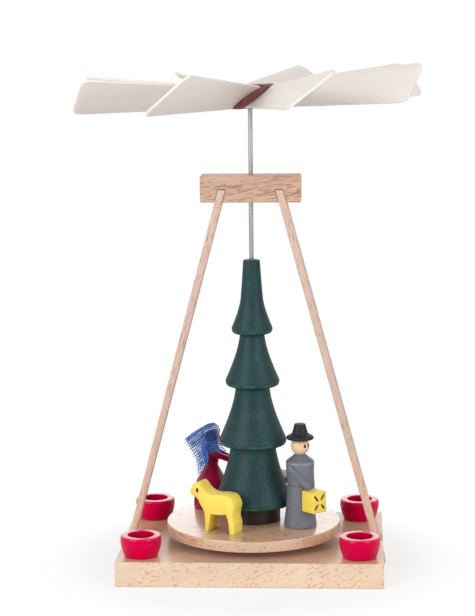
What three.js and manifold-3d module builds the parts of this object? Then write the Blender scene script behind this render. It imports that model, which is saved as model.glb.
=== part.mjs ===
// Christmas pyramid: candles on the base board drive a fan, which turns a plate with a tree and figures.
// Millimetres, +Z up. The origin is on the underside of the base board, on the axle's axis.
// +X is to the right and -Y is the front, where the sheep stands.

import * as THREE from 'three';
import { mergeVertices } from 'three/addons/utils/BufferGeometryUtils.js';
import Module from 'manifold-3d';

const wasm = await Module();
wasm.setup();

// Clearances
const GLUE_GAP = 0.3;
const RUNNING_GAP = 0.4;
const BEARING_GAP = 0.3;

// Base board
const BOARD_W = 105.4;
const BOARD_D = 78;
const BOARD_T = 10;
const EASED = 0.4;

// Candle cups, one in each corner of the board
const CUP_INSET_X = 9.5;
const CUP_INSET_Y = 10;
const CUP_BORE_R = 5.2;
const CUP_RIM_W = 2.2;
const CUP_SHOULDER = 0.75;
const CUP_TAPER = 1.5;
const CUP_H = 8.6;
const CUP_FLOOR_T = 2.1;
const SPIGOT_R = 2.5;
const SPIGOT_L = 5;

// Axle and the small cup that its point turns in
const AXLE_R = 0.9;
const AXLE_POINT_L = 1.4;
const BEARING_R = 3;
const BEARING_H = 4.2;
const BEARING_DISH_R = 1.8;
const BEARING_DISH_DEPTH = 2.2;

// Crossbar that guides the axle
const BAR_W = 40;
const BAR_D = 10;
const BAR_H = 10.7;
const BAR_UNDERSIDE = 147.7;

// Legs, sawn from board of the crossbar's thickness and let into kerfs and side notches
const LEG_T = 2.6;
const LEG_HOUSED = 5;
const LEG_TOP_INSET = 5.9;
const LEG_FOOT_INSET = 1.5;
const LEG_PROUD = 1;
const LEG_LIFT = 0.4;

// Tree: each tier flares from a neck down to a rim, heights from the top of the trunk
const TRUNK_R = 10.9;
const TRUNK_H = 6.1;
const TIERS = [
  { rimR: 15.7, rimZ: 2.6, neckR: 9.2, neckZ: 24.5 },
  { rimR: 13.6, rimZ: 27.4, neckR: 6.9, neckZ: 48.6 },
  { rimR: 10.9, rimZ: 51.7, neckR: 5, neckZ: 70.3 },
  { rimR: 8.25, rimZ: 73.1, neckR: 4.45, neckZ: 85.7 },
];
const LIP_H = 2.1;
const LIP_IN = 1.1;
const SPIRE_R = 3.4;
const SPIRE_TOP = 100.7;
const SPIRE_ROUND = 0.8;

// Plate that carries the tree and figures
const PLATE_T = 4.4;
const PLATE_LIFT = 3.1;
const PLATE_MARGIN = 1.3;

// Fan
const BLADES = 8;
const HUB_R = 9.6;
const HUB_H = 9.3;
const HUB_UNDERSIDE = 184.7;
const SLOT_FLOOR_R = 4;
const SLOT_OFFSET = 1.5;
const SLOT_TURN_DEG = 20.9;
const BLADE_REACH = 70.2;
const BLADE_TIP_W = 24.2;
const BLADE_ROOT_W = 14.5;
const BLADE_T = 1;
const BLADE_CORNER_R = 4.2;
const BLADE_DROP = 0.5;
const PITCH_DEG = 36;
const RISE_DEG = 3.1;
const LEAN_X_DEG = -1.4;
const LEAN_Y_DEG = -2.2;

// Shepherd: turned coat, head and hat; the coat's foot reaches in under the tree's widest rim
const COAT_FOOT_R = 6.6;
const COAT_WAIST_R = 5.2;
const COAT_CHEST_R = 5.7;
const COAT_SEAM = 0.15;
const COAT_WAIST_Z = 17.4;
const COAT_SHOULDER_Z = 26.4;
const COAT_NECK_Z = 29.8;
const SHEPHERD_HEAD_R = 3.7;
const SHEPHERD_UNDER_RIM = 0.3;
const SHEPHERD_AZIMUTH_DEG = -28.2;
const SHEPHERD_FACES_DEG = -46;
const HAT_BRIM_R = 5.5;
const HAT_BRIM_T = 1.2;
const HAT_BAND_R = 3.2;
const HAT_CROWN_R = 2.3;
const HAT_H = 6.3;
const LANTERN_W = 7;
const LANTERN_H = 8.5;
const LANTERN_SEAT = 1.3;
const LANTERN_DROP = 1.8;
const ARM_W = 2.4;
const ARM_T = 1.8;

// Veiled figure: turned dress and head, arms held forward, net over the head
const DRESS_FOOT_R = 7.55;
const DRESS_HIP_R = 6.2;
const DRESS_WAIST_R = 2.7;
const DRESS_CHEST_R = 3.7;
const DRESS_HIP_Z = 11.7;
const DRESS_WAIST_Z = 18.1;
const DRESS_CHEST_Z = 23.4;
const DRESS_NECK_Z = 27.2;
const VEILED_HEAD_R = 3.2;
const VEILED_HEAD_FORWARD = 0.5;
const VEILED_TREE_GAP = 3.2;
const VEILED_AZIMUTH_DEG = 134.1;
const VEILED_FACES_DEG = 0;
const VEIL_T = 0.6;
const VEIL_CLEAR = 0.4;
const VEIL_FOLDS = 2.5;
const VEIL_FOLD_DEPTH = 0.4;

// Sheep, sawn from a flat strip
const SHEEP_T = 7.3;
const SHEEP_H = 19.6;
const SHEEP_TREE_GAP = 3.4;
const SHEEP_HEADING_DEG = 154.2;
const SHEEP_FORWARD = -3.35;

// Crib with the swaddled child
const CRIB_L = 12;
const CRIB_W = 9;
const CRIB_H = 13.4;
const CRIB_FLOOR = 9.8;
const CRIB_WALL = 1.2;
const CRIB_LEG_T = 1.8;
const CRIB_LEG_W = 1.9;
const CRIB_TREE_GAP = 3.3;
const CRIB_AZIMUTH_DEG = 58;
const CRIB_FACES_DEG = 0;
const CHILD_L = 9.6;
const CHILD_R = 2;
const CHILD_NECK_R = 1.2;
const CHILD_HEAD_R = 1.8;

// Worked out from the sizes above
const PLATE_TOP = BOARD_T + PLATE_LIFT + PLATE_T;
const TREE_FOOT = PLATE_TOP + TRUNK_H;
const TREE_WIDEST_R = Math.max(...TIERS.map((tier) => tier.rimR));
const SHEPHERD_R = TREE_WIDEST_R + COAT_FOOT_R - SHEPHERD_UNDER_RIM;
const VEILED_R = TREE_WIDEST_R + DRESS_FOOT_R + VEILED_TREE_GAP;
const PLATE_R = VEILED_R + DRESS_FOOT_R + PLATE_MARGIN;
const SHAFT_HOLE_R = AXLE_R + GLUE_GAP;
const FAN_CENTRE_Z = HUB_UNDERSIDE + HUB_H / 2 - BLADE_DROP;

// Finishes
const BEECH = finish(0xe3c3a0, 0.6);
const PINK_BEECH = finish(0xcfa88e, 0.62);
const STEEL = finish(0xb9b9bb, 0.25, 1);
const BRASS = finish(0xb58f4a, 0.35, 1);
const CRIMSON = finish(0xc8003c, 0.3);
const TREE_GREEN = finish(0x2c4d4c, 0.35);
const TRUNK_BROWN = finish(0x33262a, 0.5);
const HUB_RED = finish(0x8a4c4e, 0.55);
const LIMEWOOD = finish(0xe7dfd3, 0.6);
const COAT_GREY = finish(0x747a84, 0.5);
const HAT_BLACK = finish(0x2e2c34, 0.5);
const BARE_MAPLE = finish(0xecc9a4, 0.55);
const DRESS_RED = finish(0x9c1240, 0.45);
const VEIL_BLUE = finish(0x3a5ba8, 0.8);
const SHEEP_YELLOW = finish(0xf7df5e, 0.5);
const CRIB_BROWN = finish(0x4a2c26, 0.55);
const LINEN_WHITE = finish(0xece7de, 0.6);

function finish(color, roughness, metalness = 0) {
  return new THREE.MeshStandardMaterial({ color, roughness, metalness });
}

function rad(degrees) {
  return THREE.MathUtils.degToRad(degrees);
}

// A geometry with shared vertices and no collapsed triangles
function closed(geometry) {
  const bare = geometry.clone();
  bare.deleteAttribute('normal');
  bare.deleteAttribute('uv');
  const merged = mergeVertices(bare, 1e-4);
  const corners = merged.index.array;
  const kept = [];
  for (let i = 0; i < corners.length; i += 3) {
    const [a, b, c] = corners.slice(i, i + 3);
    if (a !== b && b !== c && c !== a) {
      kept.push(a, b, c);
    }
  }
  merged.setIndex(kept);
  return merged;
}

function toSolid(geometry) {
  const mesh = closed(geometry);
  return new wasm.Manifold(new wasm.Mesh({
    numProp: 3,
    vertProperties: new Float32Array(mesh.attributes.position.array),
    triVerts: new Uint32Array(mesh.index.array),
  }));
}

function fromSolid(solid) {
  const mesh = solid.getMesh();
  const geometry = new THREE.BufferGeometry();
  geometry.setAttribute('position', new THREE.BufferAttribute(mesh.vertProperties, 3));
  geometry.setIndex(new THREE.BufferAttribute(mesh.triVerts, 1));
  return geometry;
}

function cut(geometry, cutters) {
  let solid = toSolid(geometry);
  for (const cutter of cutters) {
    solid = solid.subtract(toSolid(cutter));
  }
  return fromSolid(solid);
}

function join(pieces) {
  return fromSolid(pieces.map(toSolid).reduce((all, next) => all.add(next)));
}

// A turned piece from a path of radius and height that runs up its outside
function turned(path, curveSteps, segments) {
  const points = path.getPoints(curveSteps);
  const lathe = new THREE.LatheGeometry(points, segments);
  lathe.rotateX(Math.PI / 2);
  return closed(lathe);
}

function pathFrom(radius, height) {
  const path = new THREE.Path();
  path.moveTo(radius, height);
  return path;
}

// A turned ring with eased edges, such as a plate on a shaft
function turnedRing(innerR, outerR, low, high, ease, segments) {
  const path = pathFrom(innerR, low);
  path.lineTo(outerR - ease, low);
  path.lineTo(outerR, low + ease);
  path.lineTo(outerR, high - ease);
  path.lineTo(outerR - ease, high);
  path.lineTo(innerR, high);
  path.lineTo(innerR, low);
  return turned(path, 1, segments);
}

function rod(radius, low, high, segments) {
  const geometry = new THREE.CylinderGeometry(radius, radius, high - low, segments);
  geometry.rotateX(Math.PI / 2);
  geometry.translate(0, 0, (low + high) / 2);
  return geometry;
}

// A block on z = 0, centred in x and y, with its edges eased
function easedBlock(width, depth, height, ease) {
  const x = width / 2 - ease;
  const y = depth / 2 - ease;
  const outline = new THREE.Shape();
  outline.moveTo(-x, -y);
  outline.lineTo(x, -y);
  outline.lineTo(x, y);
  outline.lineTo(-x, y);
  outline.closePath();
  const block = new THREE.ExtrudeGeometry(outline, {
    depth: height - 2 * ease,
    bevelEnabled: true,
    bevelSize: ease,
    bevelThickness: ease,
    bevelSegments: 1,
  });
  block.translate(0, 0, ease);
  return block;
}

// An outline in x and z, extruded to equal depths in front of and behind y = 0
function upright(outline, depth, curveSteps = 6) {
  const plate = new THREE.ExtrudeGeometry(outline, { depth, bevelEnabled: false, curveSegments: curveSteps });
  plate.rotateX(Math.PI / 2);
  plate.translate(0, depth / 2, 0);
  return plate;
}

function polygon(points) {
  return new THREE.Shape(points.map(([x, y]) => new THREE.Vector2(x, y)));
}

function mesh(name, geometry, material) {
  const piece = new THREE.Mesh(geometry, material);
  piece.name = name;
  return piece;
}

// Legs: the outer face runs straight from the board's edge to the crossbar
const LEG_FOOT_X = BOARD_W / 2 - LEG_FOOT_INSET;
const LEG_TOP_X = BAR_W / 2 - LEG_TOP_INSET;
const LEG_SLOPE = (LEG_FOOT_X - LEG_TOP_X) / (BAR_UNDERSIDE - BOARD_T);
const LEG_ACROSS = LEG_T * Math.hypot(1, LEG_SLOPE);

function legOuterX(z) {
  return LEG_FOOT_X - LEG_SLOPE * (z - BOARD_T);
}

// The leg's strip between two heights, wider by a gap on both faces
function legStrip(low, high, gap) {
  return polygon([
    [legOuterX(low) - LEG_ACROSS - gap, low],
    [legOuterX(low) + gap, low],
    [legOuterX(high) + gap, high],
    [legOuterX(high) - LEG_ACROSS - gap, high],
  ]);
}

function mirroredX(geometry, side) {
  if (side > 0) {
    return geometry;
  }
  const turnedRound = geometry.clone();
  turnedRound.rotateZ(Math.PI);
  return turnedRound;
}

function leg(side) {
  const trimX = BOARD_W / 2 + LEG_PROUD;
  const trimZ = BOARD_T - (trimX - LEG_FOOT_X) / LEG_SLOPE;
  const top = BAR_UNDERSIDE + LEG_HOUSED;
  const low = LEG_LIFT;
  const outline = polygon([
    [legOuterX(low) - LEG_ACROSS, low],
    [trimX, low],
    [trimX, Math.max(trimZ, low + EASED)],
    [legOuterX(top), top],
    [legOuterX(top) - LEG_ACROSS, top],
  ]);
  return mirroredX(upright(outline, BAR_D), side);
}

// Base board with two slanted side notches, four spigot holes and the bearing's hole
function legNotch(side) {
  const inner = legStrip(-1, BOARD_T + 1, GLUE_GAP);
  const points = inner.getPoints();
  const beyond = BOARD_W / 2 + 2 * LEG_T;
  const outline = polygon([
    [points[0].x, points[0].y],
    [beyond, points[0].y],
    [beyond, points[3].y],
    [points[3].x, points[3].y],
  ]);
  return mirroredX(upright(outline, BAR_D + 2 * GLUE_GAP), side);
}

function cupCentres() {
  const x = BOARD_W / 2 - CUP_INSET_X;
  const y = BOARD_D / 2 - CUP_INSET_Y;
  return { front_left: [-x, -y], front_right: [x, -y], rear_left: [-x, y], rear_right: [x, y] };
}

function baseBoard() {
  const cutters = [legNotch(1), legNotch(-1)];
  cutters.push(rod(BEARING_R + GLUE_GAP, BOARD_T - BEARING_H, BOARD_T + 1, 24));
  for (const [x, y] of Object.values(cupCentres())) {
    const hole = rod(SPIGOT_R + GLUE_GAP, BOARD_T - SPIGOT_L - GLUE_GAP, BOARD_T + 1, 16);
    cutters.push(hole.translate(x, y, 0));
  }
  return cut(easedBlock(BOARD_W, BOARD_D, BOARD_T, EASED), cutters);
}

// Candle cup, standing on z = 0 with its spigot below
function candleCup() {
  const rimR = CUP_BORE_R + CUP_RIM_W;
  const widestR = rimR + CUP_SHOULDER;
  const footR = widestR - CUP_TAPER;
  const path = pathFrom(0, -SPIGOT_L);
  path.lineTo(SPIGOT_R - EASED, -SPIGOT_L);
  path.lineTo(SPIGOT_R, EASED - SPIGOT_L);
  path.lineTo(SPIGOT_R, 0);
  path.lineTo(footR - 2 * EASED, 0);
  path.quadraticCurveTo(footR, 0, footR + 0.1 * CUP_TAPER, 0.1 * CUP_H);
  path.quadraticCurveTo(widestR - 0.1 * CUP_TAPER, 0.45 * CUP_H, widestR, 0.74 * CUP_H);
  path.quadraticCurveTo(widestR, CUP_H, rimR, CUP_H);
  path.lineTo(CUP_BORE_R, CUP_H);
  path.lineTo(CUP_BORE_R, CUP_FLOOR_T);
  path.lineTo(0, CUP_FLOOR_T);
  return turned(path, 3, 24);
}

// Bearing cup, with a dish for the axle's point
function bearingCup() {
  const low = BOARD_T - BEARING_H;
  const path = pathFrom(0, low);
  path.lineTo(BEARING_R, low);
  path.lineTo(BEARING_R, BOARD_T);
  path.lineTo(BEARING_DISH_R, BOARD_T);
  path.lineTo(0, BOARD_T - BEARING_DISH_DEPTH);
  return turned(path, 1, 24);
}

function axle() {
  const point = BOARD_T - BEARING_DISH_DEPTH + BEARING_GAP;
  const top = HUB_UNDERSIDE + 0.7 * HUB_H;
  const path = pathFrom(0, point);
  path.lineTo(AXLE_R, point + AXLE_POINT_L);
  path.lineTo(AXLE_R, top);
  path.lineTo(0, top);
  return turned(path, 1, 20);
}

function crossbar() {
  const bar = easedBlock(BAR_W, BAR_D, BAR_H, EASED);
  bar.translate(0, 0, BAR_UNDERSIDE);
  const kerf = upright(legStrip(BAR_UNDERSIDE - 1, BAR_UNDERSIDE + LEG_HOUSED + GLUE_GAP, GLUE_GAP), BAR_D + 2);
  const hole = rod(AXLE_R + RUNNING_GAP, BAR_UNDERSIDE - 1, BAR_UNDERSIDE + BAR_H + 1, 24);
  return cut(bar, [mirroredX(kerf, 1), mirroredX(kerf, -1), hole]);
}

// Tree: one turning with a hole for the axle
function treeBody() {
  const path = pathFrom(SHAFT_HOLE_R, 0);
  path.lineTo(TRUNK_R, 0);
  for (const tier of TIERS) {
    const edgeZ = tier.rimZ - LIP_H;
    path.lineTo(tier.rimR - LIP_IN, edgeZ);
    path.quadraticCurveTo(tier.rimR, edgeZ + 0.1 * LIP_H, tier.rimR, tier.rimZ);
    const flareR = tier.rimR - tier.neckR;
    const flareZ = tier.neckZ - tier.rimZ;
    path.bezierCurveTo(
      tier.rimR - 0.08 * flareR,
      tier.rimZ + 0.08 * flareZ,
      tier.neckR + 0.1 * flareR,
      tier.neckZ - 0.4 * flareZ,
      tier.neckR,
      tier.neckZ,
    );
  }
  const below = { r: TIERS.at(-1).neckR, z: TIERS.at(-1).neckZ };
  path.quadraticCurveTo(1.12 * SPIRE_R, (below.z + SPIRE_TOP) / 2, SPIRE_R, SPIRE_TOP - SPIRE_ROUND);
  path.quadraticCurveTo(SPIRE_R, SPIRE_TOP, SPIRE_R - SPIRE_ROUND, SPIRE_TOP);
  path.lineTo(SHAFT_HOLE_R, SPIRE_TOP);
  path.lineTo(SHAFT_HOLE_R, 0);
  return turned(path, 5, 40);
}

// Fan blade lying in x and y: x runs out from the hub, and the sides spread from root to tip
function bladeHalfWidth(r) {
  const share = (r - HUB_R) / (BLADE_REACH - HUB_R);
  return (BLADE_ROOT_W + (BLADE_TIP_W - BLADE_ROOT_W) * share) / 2;
}

function blade() {
  const rootX = SLOT_FLOOR_R + GLUE_GAP;
  const root = bladeHalfWidth(rootX);
  const tip = bladeHalfWidth(BLADE_REACH);
  const before = BLADE_REACH - BLADE_CORNER_R;
  const side = bladeHalfWidth(before);
  const outline = new THREE.Shape();
  outline.moveTo(rootX, -root);
  outline.lineTo(before, -side);
  outline.quadraticCurveTo(BLADE_REACH, -tip, BLADE_REACH, BLADE_CORNER_R - tip);
  outline.lineTo(BLADE_REACH, tip - BLADE_CORNER_R);
  outline.quadraticCurveTo(BLADE_REACH, tip, before, side);
  outline.lineTo(rootX, root);
  outline.closePath();
  const plate = new THREE.ExtrudeGeometry(outline, { depth: BLADE_T, bevelEnabled: false, curveSegments: 5 });
  plate.translate(0, 0, -BLADE_T / 2);
  return plate;
}

// Puts a blade, or the cutter of its slot, at its place round the hub
function placeAtSlot(object, index) {
  const arm = new THREE.Group();
  arm.rotation.z = rad(SLOT_TURN_DEG + (index * 360) / BLADES);
  object.rotation.set(rad(PITCH_DEG), -rad(RISE_DEG), 0, 'YXZ');
  object.position.y = SLOT_OFFSET;
  arm.add(object);
  arm.updateMatrixWorld(true);
  return arm;
}

function fanGroup() {
  const fan = new THREE.Group();
  fan.position.z = FAN_CENTRE_Z;
  fan.rotation.set(rad(LEAN_X_DEG), rad(LEAN_Y_DEG), 0, 'YXZ');
  return fan;
}

// Fan hub: a short turned drum with a slanted slot for each blade and a blind hole for the axle
function fanHub(fan) {
  const low = HUB_UNDERSIDE - FAN_CENTRE_Z;
  const path = pathFrom(0, low);
  path.lineTo(HUB_R - EASED, low);
  path.lineTo(HUB_R, low + EASED);
  path.lineTo(HUB_R, low + HUB_H - EASED);
  path.lineTo(HUB_R - EASED, low + HUB_H);
  path.lineTo(0, low + HUB_H);
  const drum = turned(path, 1, 40);
  const cutters = [];
  const slotLength = 2 * HUB_R - SLOT_FLOOR_R;
  const slotWidth = BLADE_T + 2 * GLUE_GAP;
  for (let i = 0; i < BLADES; i += 1) {
    const slot = new THREE.BoxGeometry(slotLength, 2 * HUB_H + 2 * SLOT_OFFSET, slotWidth);
    slot.translate(SLOT_FLOOR_R + slotLength / 2, 0, 0);
    const holder = new THREE.Mesh(slot);
    placeAtSlot(holder, i);
    cutters.push(slot.applyMatrix4(holder.matrixWorld));
  }
  fan.updateMatrix();
  const hole = rod(SHAFT_HOLE_R, HUB_UNDERSIDE - HUB_H, HUB_UNDERSIDE + 0.7 * HUB_H + GLUE_GAP, 16);
  hole.applyMatrix4(fan.matrix.clone().invert());
  cutters.push(hole);
  return cut(drum, cutters);
}

// A flat arm from a round shoulder to a square hand, grown by a gap where it cuts its neighbour
function arm(shoulder, hand, grow) {
  const along = new THREE.Vector3().subVectors(hand, shoulder);
  const length = along.length();
  const half = ARM_W / 2 + grow;
  const outline = new THREE.Shape();
  outline.moveTo(0, -half);
  outline.lineTo(length + half, -half);
  outline.lineTo(length + half, half);
  outline.lineTo(0, half);
  outline.absarc(0, 0, half, Math.PI / 2, (3 * Math.PI) / 2, false);
  const thick = ARM_T + 2 * grow;
  const slat = new THREE.ExtrudeGeometry(outline, { depth: thick, bevelEnabled: false, curveSegments: 5 });
  slat.translate(0, 0, -thick / 2);
  along.normalize();
  const outward = new THREE.Vector3(0, 0, 1).cross(along).normalize();
  const up = new THREE.Vector3().crossVectors(outward, along).negate();
  slat.applyMatrix4(new THREE.Matrix4().makeBasis(along, up, along.clone().cross(up)));
  slat.translate(shoulder.x, shoulder.y, shoulder.z);
  return slat;
}

// A round head with a flat seat below and, for a hat, above
function head(radius, seatR, hatSeatR) {
  const seatZ = -Math.sqrt(radius * radius - seatR * seatR);
  const path = pathFrom(0, seatZ);
  path.lineTo(seatR, seatZ);
  path.absarc(0, 0, radius, Math.asin(seatZ / radius), Math.acos(hatSeatR / radius), false);
  path.lineTo(0, Math.sqrt(radius * radius - hatSeatR * hatSeatR));
  return turned(path, 5, 20);
}

const NECK_R = 2;

function headCentreAbove(radius, seatR) {
  return Math.sqrt(radius * radius - seatR * seatR);
}

// Shepherd, facing +X on z = 0
const LANTERN_X = COAT_FOOT_R + LANTERN_W / 2 - LANTERN_SEAT - 0.6;
const LANTERN_TOP = COAT_WAIST_Z - LANTERN_DROP;
const HAT_SEAT_R = 2.4;

// The right arm reaches down to the lantern, and the left arm hangs at the side
function shepherdRightArm(grow) {
  const shoulder = new THREE.Vector3(0, -COAT_CHEST_R - ARM_T / 2, COAT_SHOULDER_Z - 1.4);
  const hand = new THREE.Vector3(LANTERN_X - 1.3, -2.4, LANTERN_TOP + ARM_W / 2 + 2 * GLUE_GAP);
  return arm(shoulder, hand, grow);
}

function shepherdLeftArm(grow) {
  const shoulder = new THREE.Vector3(-1, COAT_CHEST_R + ARM_T / 2 - 0.2, COAT_SHOULDER_Z - 1.4);
  const hand = new THREE.Vector3(-0.6, COAT_CHEST_R + ARM_T / 2 + 0.1, LANTERN_TOP - 0.6);
  return arm(shoulder, hand, grow);
}

function lanternBlock(grow) {
  const block = easedBlock(LANTERN_W + 2 * grow, LANTERN_W + 2 * grow, LANTERN_H + 2 * grow, EASED);
  block.translate(LANTERN_X, 0, LANTERN_TOP - LANTERN_H - grow);
  return block;
}

function shepherdCoat() {
  const path = pathFrom(0, 0);
  path.lineTo(COAT_FOOT_R - EASED, 0);
  path.lineTo(COAT_FOOT_R, 2 * EASED);
  path.quadraticCurveTo(1.06 * COAT_WAIST_R, COAT_WAIST_Z / 2, COAT_WAIST_R, COAT_WAIST_Z);
  path.lineTo(COAT_WAIST_R + COAT_SEAM, COAT_WAIST_Z + COAT_SEAM);
  path.lineTo(COAT_CHEST_R, COAT_SHOULDER_Z);
  const slope = COAT_NECK_Z - COAT_SHOULDER_Z;
  path.quadraticCurveTo(
    0.97 * COAT_CHEST_R,
    COAT_SHOULDER_Z + 0.24 * slope,
    0.82 * COAT_CHEST_R,
    COAT_SHOULDER_Z + 0.36 * slope,
  );
  path.lineTo(NECK_R, COAT_NECK_Z);
  path.lineTo(0, COAT_NECK_Z);
  const cutters = [shepherdRightArm(GLUE_GAP), shepherdLeftArm(GLUE_GAP), lanternBlock(GLUE_GAP)];
  return cut(turned(path, 3, 28), cutters);
}

function shepherdHat() {
  const crownTop = HAT_H;
  const band = HAT_BRIM_T * 2;
  const path = pathFrom(0, 0);
  path.lineTo(HAT_BRIM_R - 0.7, 0);
  path.quadraticCurveTo(HAT_BRIM_R, 0.1, HAT_BRIM_R, HAT_BRIM_T / 2);
  path.quadraticCurveTo(HAT_BRIM_R, HAT_BRIM_T, HAT_BRIM_R - 0.6, HAT_BRIM_T * 1.2);
  path.lineTo(HAT_BAND_R, band);
  path.lineTo(HAT_CROWN_R, crownTop - EASED);
  path.lineTo(HAT_CROWN_R - EASED, crownTop);
  path.lineTo(0, crownTop);
  return turned(path, 3, 28);
}

function shepherd() {
  const figure = new THREE.Group();
  const headZ = COAT_NECK_Z + headCentreAbove(SHEPHERD_HEAD_R, NECK_R);
  const headPiece = mesh('shepherd_head', head(SHEPHERD_HEAD_R, NECK_R, HAT_SEAT_R), BARE_MAPLE);
  headPiece.position.z = headZ;
  const hat = mesh('shepherd_hat', shepherdHat(), HAT_BLACK);
  hat.position.z = headZ + headCentreAbove(SHEPHERD_HEAD_R, HAT_SEAT_R);
  figure.add(mesh('shepherd_coat', shepherdCoat(), COAT_GREY));
  figure.add(headPiece);
  figure.add(hat);
  figure.add(mesh('shepherd_left_arm', shepherdLeftArm(0), COAT_GREY));
  figure.add(mesh('shepherd_right_arm', shepherdRightArm(0), COAT_GREY));
  figure.add(mesh('lantern', lanternBlock(0), SHEEP_YELLOW));
  return standing(figure, SHEPHERD_R, SHEPHERD_AZIMUTH_DEG, SHEPHERD_FACES_DEG);
}

// Puts a figure on the plate at a distance and azimuth from the axle, turned to face a direction
function standing(figure, distance, azimuthDeg, facesDeg) {
  figure.position.x = distance * Math.cos(rad(azimuthDeg));
  figure.position.y = distance * Math.sin(rad(azimuthDeg));
  figure.rotation.z = rad(facesDeg);
  return figure;
}

// Veiled figure, facing +X on z = 0
const VEILED_HEAD_Z = DRESS_NECK_Z + headCentreAbove(VEILED_HEAD_R, NECK_R);

function veiledArm(side, grow) {
  const shoulder = new THREE.Vector3(0.8, side * DRESS_CHEST_R, DRESS_CHEST_Z + 0.2);
  const hand = new THREE.Vector3(9, side * 1.4, DRESS_WAIST_Z + 1.9);
  return arm(shoulder, hand, grow);
}

function dressPath() {
  const path = pathFrom(0, 0);
  path.lineTo(DRESS_FOOT_R - EASED, 0);
  path.lineTo(DRESS_FOOT_R, 2 * EASED);
  path.quadraticCurveTo(DRESS_FOOT_R, DRESS_HIP_Z * 0.7, DRESS_HIP_R, DRESS_HIP_Z);
  path.bezierCurveTo(
    0.82 * DRESS_HIP_R,
    DRESS_HIP_Z + 0.34 * (DRESS_WAIST_Z - DRESS_HIP_Z),
    1.26 * DRESS_WAIST_R,
    DRESS_WAIST_Z - 0.28 * (DRESS_WAIST_Z - DRESS_HIP_Z),
    DRESS_WAIST_R,
    DRESS_WAIST_Z,
  );
  path.lineTo(DRESS_CHEST_R, DRESS_CHEST_Z);
  path.quadraticCurveTo(DRESS_CHEST_R, (DRESS_CHEST_Z + DRESS_NECK_Z) / 2, NECK_R, DRESS_NECK_Z);
  path.lineTo(0, DRESS_NECK_Z);
  return path;
}

function veiledDress() {
  const cutters = [veiledArm(1, GLUE_GAP), veiledArm(-1, GLUE_GAP)];
  return cut(turned(dressPath(), 4, 28), cutters);
}

// Radius of the dress at a height, read off its own profile
function dressRadiusAt(z) {
  const points = dressPath().getPoints(4);
  for (let i = 1; i < points.length; i += 1) {
    const [a, b] = [points[i - 1], points[i]];
    if (z >= a.y && z <= b.y && b.y > a.y) {
      return a.x + ((b.x - a.x) * (z - a.y)) / (b.y - a.y);
    }
  }
  return 0;
}

// The veil is a rectangle of net laid over the head. Its four edges, for the +Y half, are smooth
// lines through points from the head's centre.
const VEIL_BROW = new THREE.Vector3(0.9, 0, 5.9);
const VEIL_TIP = new THREE.Vector3(-11, 0, -0.3);
const VEIL_LAPPET = new THREE.Vector3(5.8, 5.1, -4.6);
const VEIL_CORNER = new THREE.Vector3(-5.4, 6.3, -14);
const VEIL_RIDGE = edgeLine([VEIL_BROW, [-2, 0, 5.5], [-6.6, 0, 2.9], VEIL_TIP]);
const VEIL_BOTTOM = edgeLine([VEIL_LAPPET, [-0.8, 5.7, -5.5], [-1.3, 5.8, -6.9], [-2.1, 6, -10.9], VEIL_CORNER]);
const VEIL_FRONT = edgeLine([VEIL_BROW, [2.2, 1.9, 4.2], [2.8, 3.3, 1.9], [2.4, 4.2, -0.6], VEIL_LAPPET]);
const VEIL_REAR = edgeLine([VEIL_TIP, [-9.4, 2.4, -3], [-6.7, 4.6, -7.1], [-5.6, 5.7, -10.7], VEIL_CORNER]);

function edgeLine(points) {
  const knots = points.map((point) => (point.isVector3 ? point : new THREE.Vector3(...point)));
  return new THREE.CatmullRomCurve3(knots);
}

// A point of the veil: back runs from the front edge to the rear, down from the ridge to the bottom
function veilPoint(back, down, side) {
  const between = (a, b, share) => a.clone().lerp(b, share);
  const settled = down * down * (3 - 2 * down);
  const point = between(VEIL_RIDGE.getPointAt(back), VEIL_BOTTOM.getPointAt(back), settled);
  const frontBow = VEIL_FRONT.getPointAt(down).sub(between(VEIL_BROW, VEIL_LAPPET, settled));
  const rearBow = VEIL_REAR.getPointAt(down).sub(between(VEIL_TIP, VEIL_CORNER, settled));
  point.addScaledVector(frontBow, 1 - back);
  point.addScaledVector(rearBow, back);
  point.y += VEIL_FOLD_DEPTH * Math.sin(back * VEIL_FOLDS * 2 * Math.PI) * down;
  const clear = VEIL_T / 2 + VEIL_CLEAR;
  const headClear = VEILED_HEAD_R + clear;
  if (point.length() < headClear) {
    point.setLength(headClear);
  }
  point.x += VEILED_HEAD_FORWARD;
  const reach = Math.hypot(point.x, point.y);
  const dressClear = dressRadiusAt(point.z + VEILED_HEAD_Z) + clear;
  if (point.z < 0 && reach < dressClear) {
    point.x *= dressClear / reach;
    point.y *= dressClear / reach;
  }
  point.y *= side;
  return point;
}

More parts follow.
